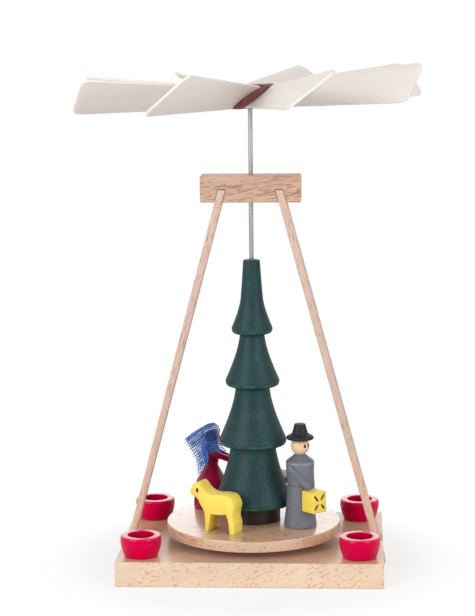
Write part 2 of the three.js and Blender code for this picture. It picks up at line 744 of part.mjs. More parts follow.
function veil() {
  const rows = 12;
  const columns = 20;
  const grid = [];
  for (let i = 0; i <= rows; i += 1) {
    const row = [];
    for (let j = 0; j <= columns; j += 1) {
      const across = (2 * j) / columns - 1;
      row.push(veilPoint(i / rows, Math.abs(across), Math.sign(across) || 1));
    }
    grid.push(row);
  }
  const faces = [[], []];
  for (let i = 0; i <= rows; i += 1) {
    for (let j = 0; j <= columns; j += 1) {
      const along = grid[Math.min(i + 1, rows)][j].clone().sub(grid[Math.max(i - 1, 0)][j]);
      const over = grid[i][Math.min(j + 1, columns)].clone().sub(grid[i][Math.max(j - 1, 0)]);
      const normal = along.cross(over).normalize();
      faces[0].push(grid[i][j].clone().addScaledVector(normal, VEIL_T / 2));
      faces[1].push(grid[i][j].clone().addScaledVector(normal, -VEIL_T / 2));
    }
  }
  const points = faces.flat();
  const inner = faces[0].length;
  const at = (i, j) => i * (columns + 1) + j;
  const triangles = [];
  const quad = (a, b, c, d) => triangles.push(a, b, c, a, c, d);
  for (let i = 0; i < rows; i += 1) {
    for (let j = 0; j < columns; j += 1) {
      quad(at(i, j), at(i + 1, j), at(i + 1, j + 1), at(i, j + 1));
      quad(inner + at(i, j), inner + at(i, j + 1), inner + at(i + 1, j + 1), inner + at(i + 1, j));
    }
  }
  for (let i = 0; i < rows; i += 1) {
    quad(at(i + 1, 0), at(i, 0), inner + at(i, 0), inner + at(i + 1, 0));
    quad(at(i, columns), at(i + 1, columns), inner + at(i + 1, columns), inner + at(i, columns));
  }
  for (let j = 0; j < columns; j += 1) {
    quad(at(0, j), at(0, j + 1), inner + at(0, j + 1), inner + at(0, j));
    quad(at(rows, j + 1), at(rows, j), inner + at(rows, j), inner + at(rows, j + 1));
  }
  const geometry = new THREE.BufferGeometry().setFromPoints(points);
  geometry.setIndex(triangles);
  geometry.translate(0, 0, VEILED_HEAD_Z);
  return geometry;
}

function veiledFigure() {
  const figure = new THREE.Group();
  const headPiece = mesh('veiled_figure_head', head(VEILED_HEAD_R, NECK_R, 1), BARE_MAPLE);
  headPiece.position.set(VEILED_HEAD_FORWARD, 0, VEILED_HEAD_Z);
  figure.add(mesh('veiled_figure_dress', veiledDress(), DRESS_RED));
  figure.add(headPiece);
  figure.add(mesh('veiled_figure_left_arm', veiledArm(1, 0), DRESS_RED));
  figure.add(mesh('veiled_figure_right_arm', veiledArm(-1, 0), DRESS_RED));
  figure.add(mesh('veil', veil(), VEIL_BLUE));
  return standing(figure, VEILED_R, VEILED_AZIMUTH_DEG, VEILED_FACES_DEG);
}

// Sheep: outline seen from its left side, with x from the hind foot towards the nose, in
// hundredths of the sheep's height
function sheepOutline() {
  const unit = SHEEP_H / 100;
  const vectors = (points) => points.map(([x, z]) => new THREE.Vector2(x * unit, z * unit));
  const outline = new THREE.Shape();
  const line = (points) => vectors(points).forEach((point) => outline.lineTo(point.x, point.y));
  outline.moveTo(0, 0);
  line([[-10, 0]]);
  outline.splineThru(vectors([[-11, 22], [-8, 32], [-8, 45], [-11, 62], [-1, 78], [18, 81]]));
  outline.splineThru(vectors([[41, 79], [58, 86], [72, 100], [83, 96], [91, 83]]));
  outline.splineThru(vectors([[89, 75], [75, 68], [68, 57], [59, 42], [57, 31], [56, 14]]));
  line([[58, 0], [50, 0], [47, 22], [43, 38]]);
  outline.quadraticCurveTo(24 * unit, 37 * unit, 8 * unit, 41 * unit);
  outline.quadraticCurveTo(0, 24 * unit, 0, 0);
  return outline;
}

function sheep() {
  const body = upright(sheepOutline(), SHEEP_T, 2);
  const piece = mesh('sheep', body, SHEEP_YELLOW);
  piece.position.set(SHEEP_FORWARD, TREE_WIDEST_R + SHEEP_TREE_GAP + SHEEP_T / 2, 0);
  const heading = new THREE.Group();
  heading.rotation.z = rad(SHEEP_HEADING_DEG);
  heading.add(piece);
  return heading;
}

// Crib: a V-shaped trough between two ends of crossed legs, with its long side along x
const TROUGH_TOP = CRIB_H - 0.6;
const TROUGH_APEX = CRIB_FLOOR + CRIB_WALL;
const TROUGH_HALF = CRIB_W / 2 - CRIB_LEG_W;

function crib() {
  const half = CRIB_W / 2;
  const legInner = half - CRIB_LEG_W;
  const endOutline = polygon([
    [-half, 0],
    [-legInner, 0],
    [0, CRIB_FLOOR - CRIB_WALL],
    [legInner, 0],
    [half, 0],
    [CRIB_LEG_W * 0.6, CRIB_FLOOR],
    [half, CRIB_H],
    [legInner, CRIB_H],
    [0, TROUGH_APEX],
    [-legInner, CRIB_H],
    [-half, CRIB_H],
    [-CRIB_LEG_W * 0.6, CRIB_FLOOR],
  ]);
  const troughOutline = polygon([
    [0, CRIB_FLOOR],
    [TROUGH_HALF + CRIB_WALL, TROUGH_TOP],
    [TROUGH_HALF, TROUGH_TOP],
    [0, TROUGH_APEX],
    [-TROUGH_HALF, TROUGH_TOP],
    [-TROUGH_HALF - CRIB_WALL, TROUGH_TOP],
  ]);
  const ends = [-1, 1].map((side) => {
    const end = upright(endOutline, CRIB_LEG_T);
    return end.translate(0, (side * (CRIB_L - CRIB_LEG_T)) / 2, 0);
  });
  const body = join([upright(troughOutline, CRIB_L - CRIB_LEG_T), ...ends]);
  body.rotateZ(Math.PI / 2);
  return body;
}

// Swaddled child: one turning with body and head, lying in the trough
function child() {
  const headAt = CHILD_L - CHILD_HEAD_R;
  const chin = headAt - Math.sqrt(CHILD_HEAD_R ** 2 - CHILD_NECK_R ** 2);
  const path = pathFrom(0, 0);
  path.quadraticCurveTo(CHILD_R, 0, CHILD_R, CHILD_R);
  path.quadraticCurveTo(CHILD_R, chin * 0.8, CHILD_NECK_R, chin);
  path.absarc(0, headAt, CHILD_HEAD_R, Math.asin((chin - headAt) / CHILD_HEAD_R), Math.PI / 2, false);
  const body = turned(path, 4, 16);
  const wallAngle = Math.atan2(TROUGH_HALF, TROUGH_TOP - TROUGH_APEX);
  body.rotateY(Math.PI / 2);
  body.translate(-CHILD_L / 2, 0, TROUGH_APEX + (CHILD_R + GLUE_GAP) / Math.sin(wallAngle));
  return body;
}

function cribWithChild() {
  const group = new THREE.Group();
  group.add(mesh('crib', crib(), CRIB_BROWN));
  group.add(mesh('swaddled_child', child(), LINEN_WHITE));
  const distance = TREE_WIDEST_R + CRIB_TREE_GAP + CRIB_W / 2;
  return standing(group, distance, CRIB_AZIMUTH_DEG, CRIB_FACES_DEG);
}

// Stand: what stays still
function stand() {
  const group = new THREE.Group();
  group.add(mesh('base_board', baseBoard(), BEECH));
  group.add(mesh('bearing_cup', bearingCup(), BRASS));
  group.add(mesh('crossbar', crossbar(), PINK_BEECH));
  group.add(mesh('left_leg', leg(-1), PINK_BEECH));
  group.add(mesh('right_leg', leg(1), PINK_BEECH));
  for (const [place, [x, y]] of Object.entries(cupCentres())) {
    const cup = mesh(`candle_cup_${place}`, candleCup(), CRIMSON);
    cup.position.set(x, y, BOARD_T);
    group.add(cup);
  }
  return group;
}

// Rotor: what turns with the axle
function rotor() {
  const group = new THREE.Group();
  group.add(mesh('axle', axle(), STEEL));
  const plate = turnedRing(SHAFT_HOLE_R, PLATE_R, PLATE_TOP - PLATE_T, PLATE_TOP, EASED, 56);
  group.add(mesh('turntable', plate, PINK_BEECH));
  const trunk = turnedRing(SHAFT_HOLE_R, TRUNK_R, PLATE_TOP, TREE_FOOT, EASED, 28);
  group.add(mesh('tree_trunk', trunk, TRUNK_BROWN));
  const tree = mesh('tree_body', treeBody(), TREE_GREEN);
  tree.position.z = TREE_FOOT;
  group.add(tree);
  const onPlate = new THREE.Group();
  onPlate.position.z = PLATE_TOP;
  onPlate.add(shepherd(), veiledFigure(), sheep(), cribWithChild());
  group.add(onPlate);
  const fan = fanGroup();
  fan.add(mesh('fan_hub', fanHub(fan), HUB_RED));
  for (let i = 0; i < BLADES; i += 1) {
    fan.add(placeAtSlot(mesh(`fan_blade_${i + 1}`, blade(), LIMEWOOD), i));
  }
  group.add(fan);
  return group;
}

const pyramid = new THREE.Group();
pyramid.add(stand());
pyramid.add(rotor());

export default pyramid;
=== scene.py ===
"""Christmas pyramid: turned and sawn wood, painted figures and a net veil, set round the frame."""

import math

import bmesh
import bpy
from bpy.props import FloatProperty, FloatVectorProperty, IntProperty, PointerProperty
from mathutils import Matrix, Vector, noise
from mathutils.geometry import interpolate_bezier


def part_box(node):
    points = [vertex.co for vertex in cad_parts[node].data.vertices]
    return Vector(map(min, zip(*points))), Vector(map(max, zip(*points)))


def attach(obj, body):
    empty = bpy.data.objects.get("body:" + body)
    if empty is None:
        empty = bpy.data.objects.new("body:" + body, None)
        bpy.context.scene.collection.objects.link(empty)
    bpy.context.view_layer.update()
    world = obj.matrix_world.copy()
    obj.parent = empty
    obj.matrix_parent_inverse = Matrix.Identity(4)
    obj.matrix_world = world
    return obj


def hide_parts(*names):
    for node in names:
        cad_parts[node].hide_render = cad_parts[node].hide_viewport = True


bl_info = {
    "name": "Christmas Pyramid",
    "version": (1, 0, 0),
    "blender": (4, 5, 0),
    "location": "View3D > Sidebar > Pyramid",
    "description": "Turned and sawn wood, painted figures and a net veil for a candle pyramid",
    "category": "Add Mesh",
}

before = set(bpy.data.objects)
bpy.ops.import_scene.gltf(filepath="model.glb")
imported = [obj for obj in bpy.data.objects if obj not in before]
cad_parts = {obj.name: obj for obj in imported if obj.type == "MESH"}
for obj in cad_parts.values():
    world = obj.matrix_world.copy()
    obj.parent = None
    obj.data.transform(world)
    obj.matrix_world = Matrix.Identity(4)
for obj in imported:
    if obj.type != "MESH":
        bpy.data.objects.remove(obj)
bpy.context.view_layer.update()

MM = 0.001


def linear(hex_colour):
    """A colour written as on screen, as the linear red, green and blue that a shader takes."""
    parts = [int(hex_colour[i : i + 2], 16) / 255 for i in (1, 3, 5)]
    return tuple(p / 12.92 if p <= 0.04045 else ((p + 0.055) / 1.055) ** 2.4 for p in parts)


def height_of(node):
    """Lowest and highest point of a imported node, in millimetres."""
    low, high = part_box(node)
    return low.z / MM, high.z / MM


# ---- Finishes


class Value:
    """A socket of a finish, which numbers and other sockets can be added to and so on."""

    def __init__(self, finish, socket):
        self.finish = finish
        self.socket = socket

    def maths(self, operation, first, second):
        return self.finish.node("Math", {"operation": operation}, {0: first, 1: second})

    def __add__(self, other):
        return self.maths("ADD", self, other)

    def __radd__(self, other):
        return self.maths("ADD", other, self)

    def __sub__(self, other):
        return self.maths("SUBTRACT", self, other)

    def __rsub__(self, other):
        return self.maths("SUBTRACT", other, self)

    def __mul__(self, other):
        return self.maths("MULTIPLY", self, other)

    def __rmul__(self, other):
        return self.maths("MULTIPLY", other, self)


class Finish:
    """A material under way: its nodes, and the shader that they end in."""

    def __init__(self, name, place=None):
        self.material = bpy.data.materials.new(name)
        self.material.use_nodes = True
        self.tree = self.material.node_tree
        self.tree.nodes.clear()
        # Object coordinates turned into the piece's own frame, in millimetres
        back = (place or Matrix.Identity(4)).inverted()
        sockets = {
            "Vector": self.node("TexCoord", output="Object"),
            "Location": back.translation / MM,
            "Rotation": back.to_euler(),
            "Scale": (1 / MM, 1 / MM, 1 / MM),
        }
        self.where = self.node("Mapping", {"vector_type": "POINT"}, sockets)

    def node(self, kind, settings=None, sockets=None, output=0):
        """Adds a shader node: its settings first, then the values or links of its sockets."""
        node = self.tree.nodes.new(f"ShaderNode{kind}")
        for key, value in (settings or {}).items():
            setattr(node, key, value)
        for key, value in (sockets or {}).items():
            socket = self.found(node.inputs, key)
            if isinstance(value, Value):
                self.tree.links.new(value.socket, socket)
            else:
                socket.default_value = value
        return Value(self, self.found(node.outputs, output)) if node.outputs else node

    @staticmethod
    def found(sockets, key):
        """The socket with a number, an identifier or a name."""
        if isinstance(key, int):
            return sockets[key]
        return next(s for s in sockets if key in (s.identifier, s.name))

    def vector(self, operation, first, second=(0, 0, 0), output="Vector"):
        return self.node("VectorMath", {"operation": operation}, {0: first, 1: second}, output)

    def noise(self, lengths, detail=2, roughness=0.5, distortion=0, shift=0):
        """Noise whose patches are about as long in x, y and z as the given millimetres."""
        stretched = self.vector("MULTIPLY", self.where, [1 / length for length in lengths])
        shifted = self.vector("ADD", stretched, (shift, 0.37 * shift, 0.71 * shift))
        sockets = {"Vector": shifted, "Scale": 1, "Detail": detail, "Roughness": roughness}
        return self.node("TexNoise", None, {**sockets, "Distortion": distortion})

    def part(self, axis, vector=None):
        """One coordinate of a vector, or of the piece's own frame in millimetres."""
        return self.node("SeparateXYZ", None, {0: vector or self.where}, "XYZ".index(axis))

    def ramp(self, value, low, high):
        """0 below low, 1 above high and smooth between them."""
        sockets = {"Value": value, "From Min": low, "From Max": high}
        return self.node("MapRange", {"interpolation_type": "SMOOTHSTEP"}, sockets)

    def patches(self, lengths, low, high, *noise_settings, **more):
        """Noise parted into patches of 0 and 1, with soft edges from low to high."""
        return self.ramp(self.noise(lengths, *noise_settings, **more), low, high)

    def toned(self, name, factor, share):
        """One of the colours, drawn by a share towards a darker or lighter shade of it."""
        return self.mix(colour(name), shade(name, factor), share)

    def band(self, value, centre, half_width, soft):
        """1 within a half width of a value, and 0 a soft edge further out."""
        off = self.node("Math", {"operation": "ABSOLUTE"}, {0: value - centre})
        return 1 - self.ramp(off, half_width, half_width + soft)

    def mix(self, first, second, share, blend="MIX"):
        sockets = {"Factor_Float": share}
        for key, tone in (("A_Color", first), ("B_Color", second)):
            sockets[key] = tone if isinstance(tone, Value) else (*tone, 1)
        settings = {"data_type": "RGBA", "blend_type": blend}
        return self.node("Mix", settings, sockets, "Result_Color")

    def done(self, body, roughness, height, depth, varnish=(0, 0.03, 1.5), strength=1, **more):
        """Ends the finish in a Principled shader and gives its material.

        Height is the bump, as deep as depth in millimetres. Varnish is the coat's weight,
        roughness and index.
        """
        bump = {"Height": height, "Distance": depth * MM, "Strength": strength}
        sockets = {"Base Color": body, "Roughness": roughness}
        sockets["Normal"] = self.node("Bump", None, bump)
        sockets.update(zip(("Coat Weight", "Coat Roughness", "Coat IOR"), varnish))
        sockets.update({key.replace("_", " "): value for key, value in more.items()})
        shader = self.node("BsdfPrincipled", None, sockets)
        self.node("OutputMaterial", None, {"Surface": shader})
        return self.material


def sawn_wood(
    name, place, body, dark, fleck, fleck_mm=(4.5, 0.45), flecks=0.6, scarce=0.6, grain=0.8,
    varnish=(0.3, 0.3, 1.5), top=None, foot=None, shift=0,
):
    """Wood, its grain along the piece's own x: broad bands, fine fibres and short flecks.

    Body names the colour, dark is the factor of its darker tone and fleck the flecks' colour.
    Flecks get fewer as scarce goes up from 0.5. Top is what the colour is multiplied by where
    a face points up: painted shade, darker where less light falls. Foot is the same for the low
    end of a leg, with the way along x to it: painted light, warmer where the board throws light up.
    """
    finish = Finish(name, place)
    long, wide = fleck_mm
    bands = finish.patches((70, 6, 6), 0.36, 0.64, distortion=0.8, shift=shift)
    fibres = finish.patches((16, 0.6, 0.6), 0.3, 0.7, 3, 0.6, shift=shift + 9)
    rays = finish.patches((long, wide, wide), scarce, scarce + 0.08, 1, 0.4, shift=shift + 31)
    areas = finish.patches((long * 4, wide * 9, wide * 9), 0.32, 0.55, 1, shift=shift + 57)
    toned = finish.toned(body, dark, grain * (0.5 * bands + 0.5 * fibres))
    # Painted shade: faces that point up are multiplied by top, darker as less light falls on them
    if top:
        upward = finish.part("Z", finish.node("TexCoord", output="Normal"))
        toned = finish.mix(toned, top, finish.ramp(upward, 0.7, 0.95), "MULTIPLY")
    # Painted light: the low end of a leg is warmed and lightened, for the light that the board
    # throws up
    if foot:
        bounce_light, way = foot
        toned = finish.mix(toned, bounce_light, finish.ramp(way * finish.part("X"), *LEG_BOUNCE_LIGHT), "MULTIPLY")
    marks = flecks * (rays * areas)
    flecked = finish.mix(toned, linear(fleck), marks)
    bump = 0.6 * fibres - 0.5 * marks
    return finish.done(flecked, 0.6 - 0.1 * fibres + 0.1 * marks, bump, 0.05, varnish)


def turned_paint(
    name, place, body, dark, worn, varnish, roughness=0.5, grain_mm=(0.5, 0.5, 6), specks=0.35,
    tint=(1, 1, 1), level=0.5,
):
    """Paint on turned wood: the grain shows as faint streaks, with specks where it is thin."""
    finish = Finish(name, place)
    streaks = finish.patches(grain_mm, 0.32, 0.68, 3, 0.6)
    clouds = finish.patches((9, 9, 14), 0.3, 0.7, shift=13)
    spots = finish.patches((0.35, 0.35, 0.9), 0.68, 0.76, 1, shift=29)
    toned = finish.toned(body, dark, 0.35 * streaks + 0.35 * clouds)
    return finish.done(
        finish.mix(toned, linear(worn), specks * spots),
        roughness + 0.1 * streaks + 0.15 * spots,
        0.7 * streaks + 0.5 * spots,
        0.03,
        varnish,
        Specular_IOR_Level=level,
        Specular_Tint=(*tint, 1),
    )


def bare_metal(name, place, light, dark, lines_mm, dull, depth):
    """Drawn or turned metal with fine lines; dull is its roughness and what the lines add."""
    finish = Finish(name, place)
    lines = finish.patches(lines_mm, 0.35, 0.65)
    body = finish.mix(linear(light), linear(dark), lines)
    roughness = dull[0] + dull[1] * lines
    return finish.done(body, roughness, lines, depth, strength=0.5, Metallic=1)


def mark_paint(name, place, body):
    """Brushed paint of a small mark."""
    finish = Finish(name, place)
    brush = finish.patches((0.3, 0.3, 0.3), 0.3, 0.7)
    toned = finish.mix(body, [part * 0.6 for part in body], brush)
    return finish.done(toned, 0.4 + 0.1 * brush, brush, 0.02)


# ---- Shapes, in millimetres


class Profile:
    """A line of radius and height, or of x and z, drawn from point to point."""

    def __init__(self, x, z):
        self.points = [Vector((x, z, 0))]

    def line(self, *numbers):
        """Straight on through points, each given as its two numbers."""
        self.points += [Vector((*pair, 0)) for pair in zip(numbers[::2], numbers[1::2])]
        return self

    def curve(self, control, end, steps=8):
        """One bend towards a control point."""
        start, bend, stop = self.points[-1], Vector((*control, 0)), Vector((*end, 0))
        return self.bend(start.lerp(bend, 2 / 3).xy, stop.lerp(bend, 2 / 3).xy, end, steps)

    def bend(self, leave, arrive, end, steps=12):
        """A free curve with a handle at each end."""
        knots = [self.points[-1]] + [Vector((*p, 0)) for p in (leave, arrive, end)]
        self.points += interpolate_bezier(*knots, steps + 1)[1:]
        return self

    def through(self, *points):
        """A smooth line on through the given points."""
        knots = [self.points[-1]] + [Vector((*p, 0)) for p in points]
        self.points += smooth_line(knots, 6)[1:]
        return self

    def arc(self, centre, radius, start, stop, steps):
        for i in range(1, steps + 1):
            angle = start + (stop - start) * i / steps
            self.line(centre[0] + radius * math.cos(angle), centre[1] + radius * math.sin(angle))
        return self


def smooth_line(knots, steps):
    """Points along a smooth curve that passes through all the knots."""
    last = len(knots) - 1
    slopes = [(knots[min(i + 1, last)] - knots[max(i - 1, 0)]) / 6 for i in range(last + 1)]
    line = [knots[0]]
    for i in range(last):
        handles = knots[i] + slopes[i], knots[i + 1] - slopes[i + 1]
        line += interpolate_bezier(knots[i], *handles, knots[i + 1], steps + 1)[1:]
    return line


def moved(shape, matrix):
    bmesh.ops.transform(shape, matrix=matrix, verts=shape.verts)
    return shape


def shifted(x, y, z):
    return Matrix.Translation((x, y, z))


def stretched(x, y, z):
    return Matrix.Diagonal((x, y, z, 1))


def axes(x, y, z):
    """The turn that lays a shape's own axes along three directions."""
    return Matrix((x, y, z)).transposed().to_4x4()


def turn(axis, degrees):
    return Matrix.Rotation(math.radians(degrees), 4, axis)


def at(x, y, z):
    """A place in millimetres, as a matrix in metres."""
    return Matrix.Translation(Vector((x, y, z)) * MM)


def spun(profile, steps):
    """A turned shape: the profile goes once round the z axis."""
    shape = bmesh.new()
    points = [shape.verts.new((p.x, 0, p.y)) for p in profile.points]
    line = points + [shape.edges.new(pair) for pair in zip(points, points[1:])]
    about = {"cent": (0, 0, 0), "axis": (0, 0, 1), "angle": math.tau}
    bmesh.ops.spin(shape, geom=line, steps=steps, use_merge=True, **about)
    bmesh.ops.remove_doubles(shape, verts=shape.verts, dist=1e-4)
    bmesh.ops.recalc_face_normals(shape, faces=shape.faces)
    return shape


def eased(shape, edge, segments=3):
    """Rounds the shape's sharp edges."""
    sharp = [e for e in shape.edges if e.is_manifold and e.calc_face_angle() > SHARP_ANGLE]
    form = {"affect": "EDGES", "profile": 0.5, "material": -1, "clamp_overlap": True}
    bmesh.ops.bevel(shape, geom=sharp, offset=edge, segments=segments, **form)
    return shape


def sawn(points, thickness, edge):
    """A flat shape sawn from board: an outline in x and z, as thick in y, with rounded edges."""
    shape = bmesh.new()
    face = shape.faces.new([shape.verts.new((p[0], -thickness / 2, p[1])) for p in points])
    pushed = bmesh.ops.extrude_face_region(shape, geom=[face])["geom"]
    far_side = [v for v in pushed if isinstance(v, bmesh.types.BMVert)]
    bmesh.ops.translate(shape, verts=far_side, vec=(0, thickness, 0))
    bmesh.ops.recalc_face_normals(shape, faces=shape.faces)
    return eased(shape, edge, 2)


def of_node(node):
    """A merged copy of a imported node's shape."""
    shape = bmesh.new()
    shape.from_mesh(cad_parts[node].data)
    moved(shape, stretched(1 / MM, 1 / MM, 1 / MM))
    bmesh.ops.remove_doubles(shape, verts=shape.verts, dist=1e-3)
    flat = {"angle_limit": math.radians(0.5), "delimit": {"NORMAL"}}
    bmesh.ops.dissolve_limit(shape, verts=shape.verts, edges=shape.edges, **flat)
    return shape


# ---- Objects


def new_mesh(name, shape, finish):
    mesh = bpy.data.meshes.new(name)
    shape.to_mesh(mesh)
    shape.free()
    mesh.materials.append(finish)
    return mesh


def new_object(name, data):
    thing = bpy.data.objects.new(name, data)
    bpy.context.scene.collection.objects.link(thing)
    return thing


def add_piece(name, shape, finish, node=None, place=None, crease=35, body="rotor"):
    """Makes a piece from a shape in millimetres, at a place in metres, riding on a body."""
    moved(shape, (place or Matrix.Identity(4)) @ Matrix.Scale(MM, 4))
    mesh = new_mesh(name, shape, finish)
    mesh.shade_smooth()
    mesh.set_sharp_from_angle(angle=math.radians(crease))
    piece = new_object(name, mesh)
    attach(piece, body)
    if node:
        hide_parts(node)
    return piece


def dress_node(node, finish):
    """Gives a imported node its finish."""
    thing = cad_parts[node]
    for material_slot in thing.material_slots:
        material_slot.material = finish


# ---- Sizes and colours


def length_setting(name, description, millimetres):
    kind = {"min": 0, "unit": "LENGTH", "subtype": "DISTANCE"}
    return FloatProperty(name=name, description=description, default=millimetres * MM, **kind)


def angle_setting(name, description, degrees):
    kind = {"unit": "ROTATION", "subtype": "ANGLE"}
    default = math.radians(degrees)
    return FloatProperty(name=name, description=description, default=default, **kind)


def count_setting(name, description, count):
    return IntProperty(name=name, description=description, default=count, min=4)


def colour_setting(name, description, tone):
    kind = {"min": 0, "max": 1, "size": 3, "subtype": "COLOR"}
    return FloatVectorProperty(name=name, description=description, default=linear(tone), **kind)


class PyramidSizes(bpy.types.PropertyGroup):
    """Sizes of the turned and sawn pieces."""

    edge: length_setting("Eased edge", "Rounding of the sawn edges", 0.4)
    cup_bore: length_setting("Cup bore", "Radius of the bore for a candle", 5.2)
    cup_rim: length_setting("Cup rim", "Width of the flat rim round a bore", 2.2)
    cup_height: length_setting("Cup height", "Height of a candle cup above the board", 8.6)
    cup_floor: length_setting("Cup floor", "Wood left under a bore", 2.1)
    axle_radius: length_setting("Axle radius", "Radius of the steel axle", 0.9)
    shaft_hole: length_setting("Shaft hole", "Radius of the hole that the axle is glued into", 1.2)
    lip_height: length_setting("Lip height", "Height of the rounded lip under each tier", 2.1)
    lip_undercut: length_setting("Lip undercut", "How far the lip draws in below", 1.1)
    blade_thickness: length_setting("Blade thickness", "Thickness of a fan blade", 1.0)
    blade_pitch: angle_setting("Blade pitch", "Turn of a blade about its own length", 36)
    blade_rise: angle_setting("Blade rise", "How far a blade rises towards its tip", 3.1)
    net_thread: length_setting("Net thread", "Thickness of a thread of the veil's net", 0.34)
    net_rows: count_setting("Net rows", "Meshes of the net from front to back", 17)
    net_columns: count_setting("Net columns", "Meshes of the net from side to side", 27)


class PyramidColours(bpy.types.PropertyGroup):
    """Colours of the woods and paints."""

    board: colour_setting("Board", "Beech of the base board", "#e2c9ae")
    beech: colour_setting("Legs", "Pinkish beech of the legs", "#cfb3a3")
    crossbar: colour_setting("Crossbar", "Redder beech of the crossbar", "#cba891")
    plate: colour_setting("Plate", "Beech of the turntable", "#dab090")
    cups: colour_setting("Cups", "Gloss paint of the candle cups", "#d40043")
    tree: colour_setting("Tree", "Paint of the tree", "#1f4144")
    trunk: colour_setting("Trunk", "Stain of the trunk", "#2d211f")
    hub: colour_setting("Hub", "Stain of the fan's hub", "#8c4b4c")
    blades: colour_setting("Blades", "Limewood of the fan blades", "#eae2db")
    coat: colour_setting("Coat", "Paint of the shepherd's coat", "#6d717b")
    hat: colour_setting("Hat", "Paint of the shepherd's hat", "#26252c")
    skin: colour_setting("Heads", "Bare maple of the heads", "#ecc9a4")
    dress: colour_setting("Dress", "Paint of the veiled figure's dress", "#a3123f")
    hair: colour_setting("Hair", "Dark paint on the veiled head", "#1c2440")
    veil: colour_setting("Veil", "Thread of the net", "#2f80ee")
    sheep: colour_setting("Sheep", "Paint of the sheep and the lantern", "#f6de5c")
    crib: colour_setting("Crib", "Stain of the crib", "#4a2c26")
    linen: colour_setting("Linen", "Paint of the swaddling", "#ece7de")
    marks: colour_setting("Painted marks", "Paint of the eyes and the lantern's strokes", "#40240f")


def sizes(*names):
    """One size in millimetres, or a list of them."""
    found = [getattr(bpy.context.scene.pyramid_sizes, name) / MM for name in names]
    return found if len(found) > 1 else found[0]


def colour(name):
    return tuple(getattr(bpy.context.scene.pyramid_colours, name))


def shade(name, factor):
    """A darker or lighter shade of one of the colours."""
    return tuple(min(1.0, part * factor) for part in colour(name))


SHARP_ANGLE = math.radians(40)

BOARD_TOP = height_of("base_board")[1]
KERF_FIT = 0.17
LEG_X, LEG_Z, LEG_TURN = 34, 80, 75.4
# Where along a leg, from its middle, the painted light from the board begins to warm it, and where
# that is full
LEG_BOUNCE_LIGHT = (20, 66)

CUP_SHOULDER, CUP_TAPER = 0.75, 1.5
SPIGOT_R, SPIGOT_L = 2.5, 5.0

AXLE_TIP_R, AXLE_POINT_L, AXLE_EDGE = 0.15, 1.4, 0.2
BEARING_R, BEARING_EDGE, DISH_R, DISH_DEPTH = 3, 0.2, 1.8, 2.2

PLATE_LOW, PLATE_TOP = height_of("turntable")
PLATE_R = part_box("turntable")[1].x / MM

TIERS = (
    # rim radius, rim height, neck radius, neck height, with heights from the tree's foot
    (15.7, 2.6, 9.2, 24.5),
    (13.6, 27.4, 6.9, 48.6),
    (10.9, 51.7, 5, 70.3),
    (8.25, 73.1, 4.45, 85.7),
)
SPIRE_R, SPIRE_TOP, SPIRE_ROUND = 3.4, 100.7, 0.8
TREE_FOOT = height_of("tree_body")[0]

FAN_CENTRE_Z, FAN_LEAN_X, FAN_LEAN_Y = 188.85, -1.4, -2.2
BLADE_COUNT, SLOT_TURN, SLOT_OFFSET, HUB_R = 8, 20.9, 1.5, 9.6
BLADE_ROOT_X, BLADE_REACH, BLADE_CORNER, BLADE_EDGE = 4.3, 70.2, 4.2, 0.2
BLADE_ROOT_W, BLADE_TIP_W = 14.5, 24.2
# How much less each blade is pitched than the rest, in degrees, because the slots are cut by hand
BLADE_TRIMS = (4, 0, 2.5, 0, 3, 0, 2.5, 0)

NECK_R = 2.0
ARM_W, ARM_T = 2.4, 1.8

SHEPHERD_DISTANCE, SHEPHERD_AZIMUTH, SHEPHERD_FACES = 22.0, -28.2, -46.0
COAT_FOOT_R, COAT_WAIST_R, COAT_CHEST_R, COAT_SEAM = 6.6, 5.2, 5.7, 0.15
COAT_WAIST_Z, COAT_SHOULDER_Z, COAT_NECK_Z = 17.4, 26.4, 29.8
SHEPHERD_HEAD_R, HAT_SEAT_R = 3.7, 2.4
HAT_BRIM_R, HAT_BRIM_T, HAT_BAND_R, HAT_CROWN_R, HAT_H = 5.5, 1.2, 3.2, 2.3, 6.3
FACE_TURN, EYE_TURN, EYE_RISE, MOUTH_RISE = 6, 17, 8, -20
EYE_SIZE, MOUTH_SIZE = (1.15, 1.5), (1.1, 0.6)
LANTERN_W, LANTERN_H, LANTERN_X, LANTERN_TOP = 7.0, 8.5, 8.2, 16.0
LANTERN_STROKES = (
    # across and up on the lantern's front, from one end to the other
    ((-3.1, 7.4), (-1.1, 5.0)),
    ((2.2, 7.4), (0.4, 5.3)),
    ((-1.1, 3.6), (-2.9, 1.5)),
    ((0.6, 3.4), (2.4, 1.4)),
)
# A brush stroke runs on past its two ends by this share
STROKE_RUN, STROKE_W, STROKE_T = 1.15, 0.95, 0.1

SHEEP_DISTANCE, SHEEP_HEADING, SHEEP_FORWARD, SHEEP_THICK = 22.75, 154.2, -3.35, 7.3
SHEEP_H, SHEEP_EDGE, SHEEP_EYE, SHEEP_EYE_SIZE = 19.6, 0.35, (14.4, 16.6), (1.2, 1.9, 0.1)

VEILED_DISTANCE, VEILED_AZIMUTH = 26.45, 134.1
DRESS_FOOT_R, DRESS_HIP_R, DRESS_WAIST_R, DRESS_CHEST_R = 7.55, 6.2, 2.7, 3.7
DRESS_HIP_Z, DRESS_WAIST_Z, DRESS_CHEST_Z, DRESS_NECK_Z = 11.7, 18.1, 23.4, 27.2
VEILED_HEAD_R, HAIR_LINE = 3.2, 1.9
VEILED_EYE_TURN, VEILED_EYE_RISE, VEILED_EYE_SIZE = 24, 6, (0.75, 1)
VEILED_HEAD = Vector((0.5, 0, DRESS_NECK_Z + math.sqrt(VEILED_HEAD_R**2 - NECK_R**2)))

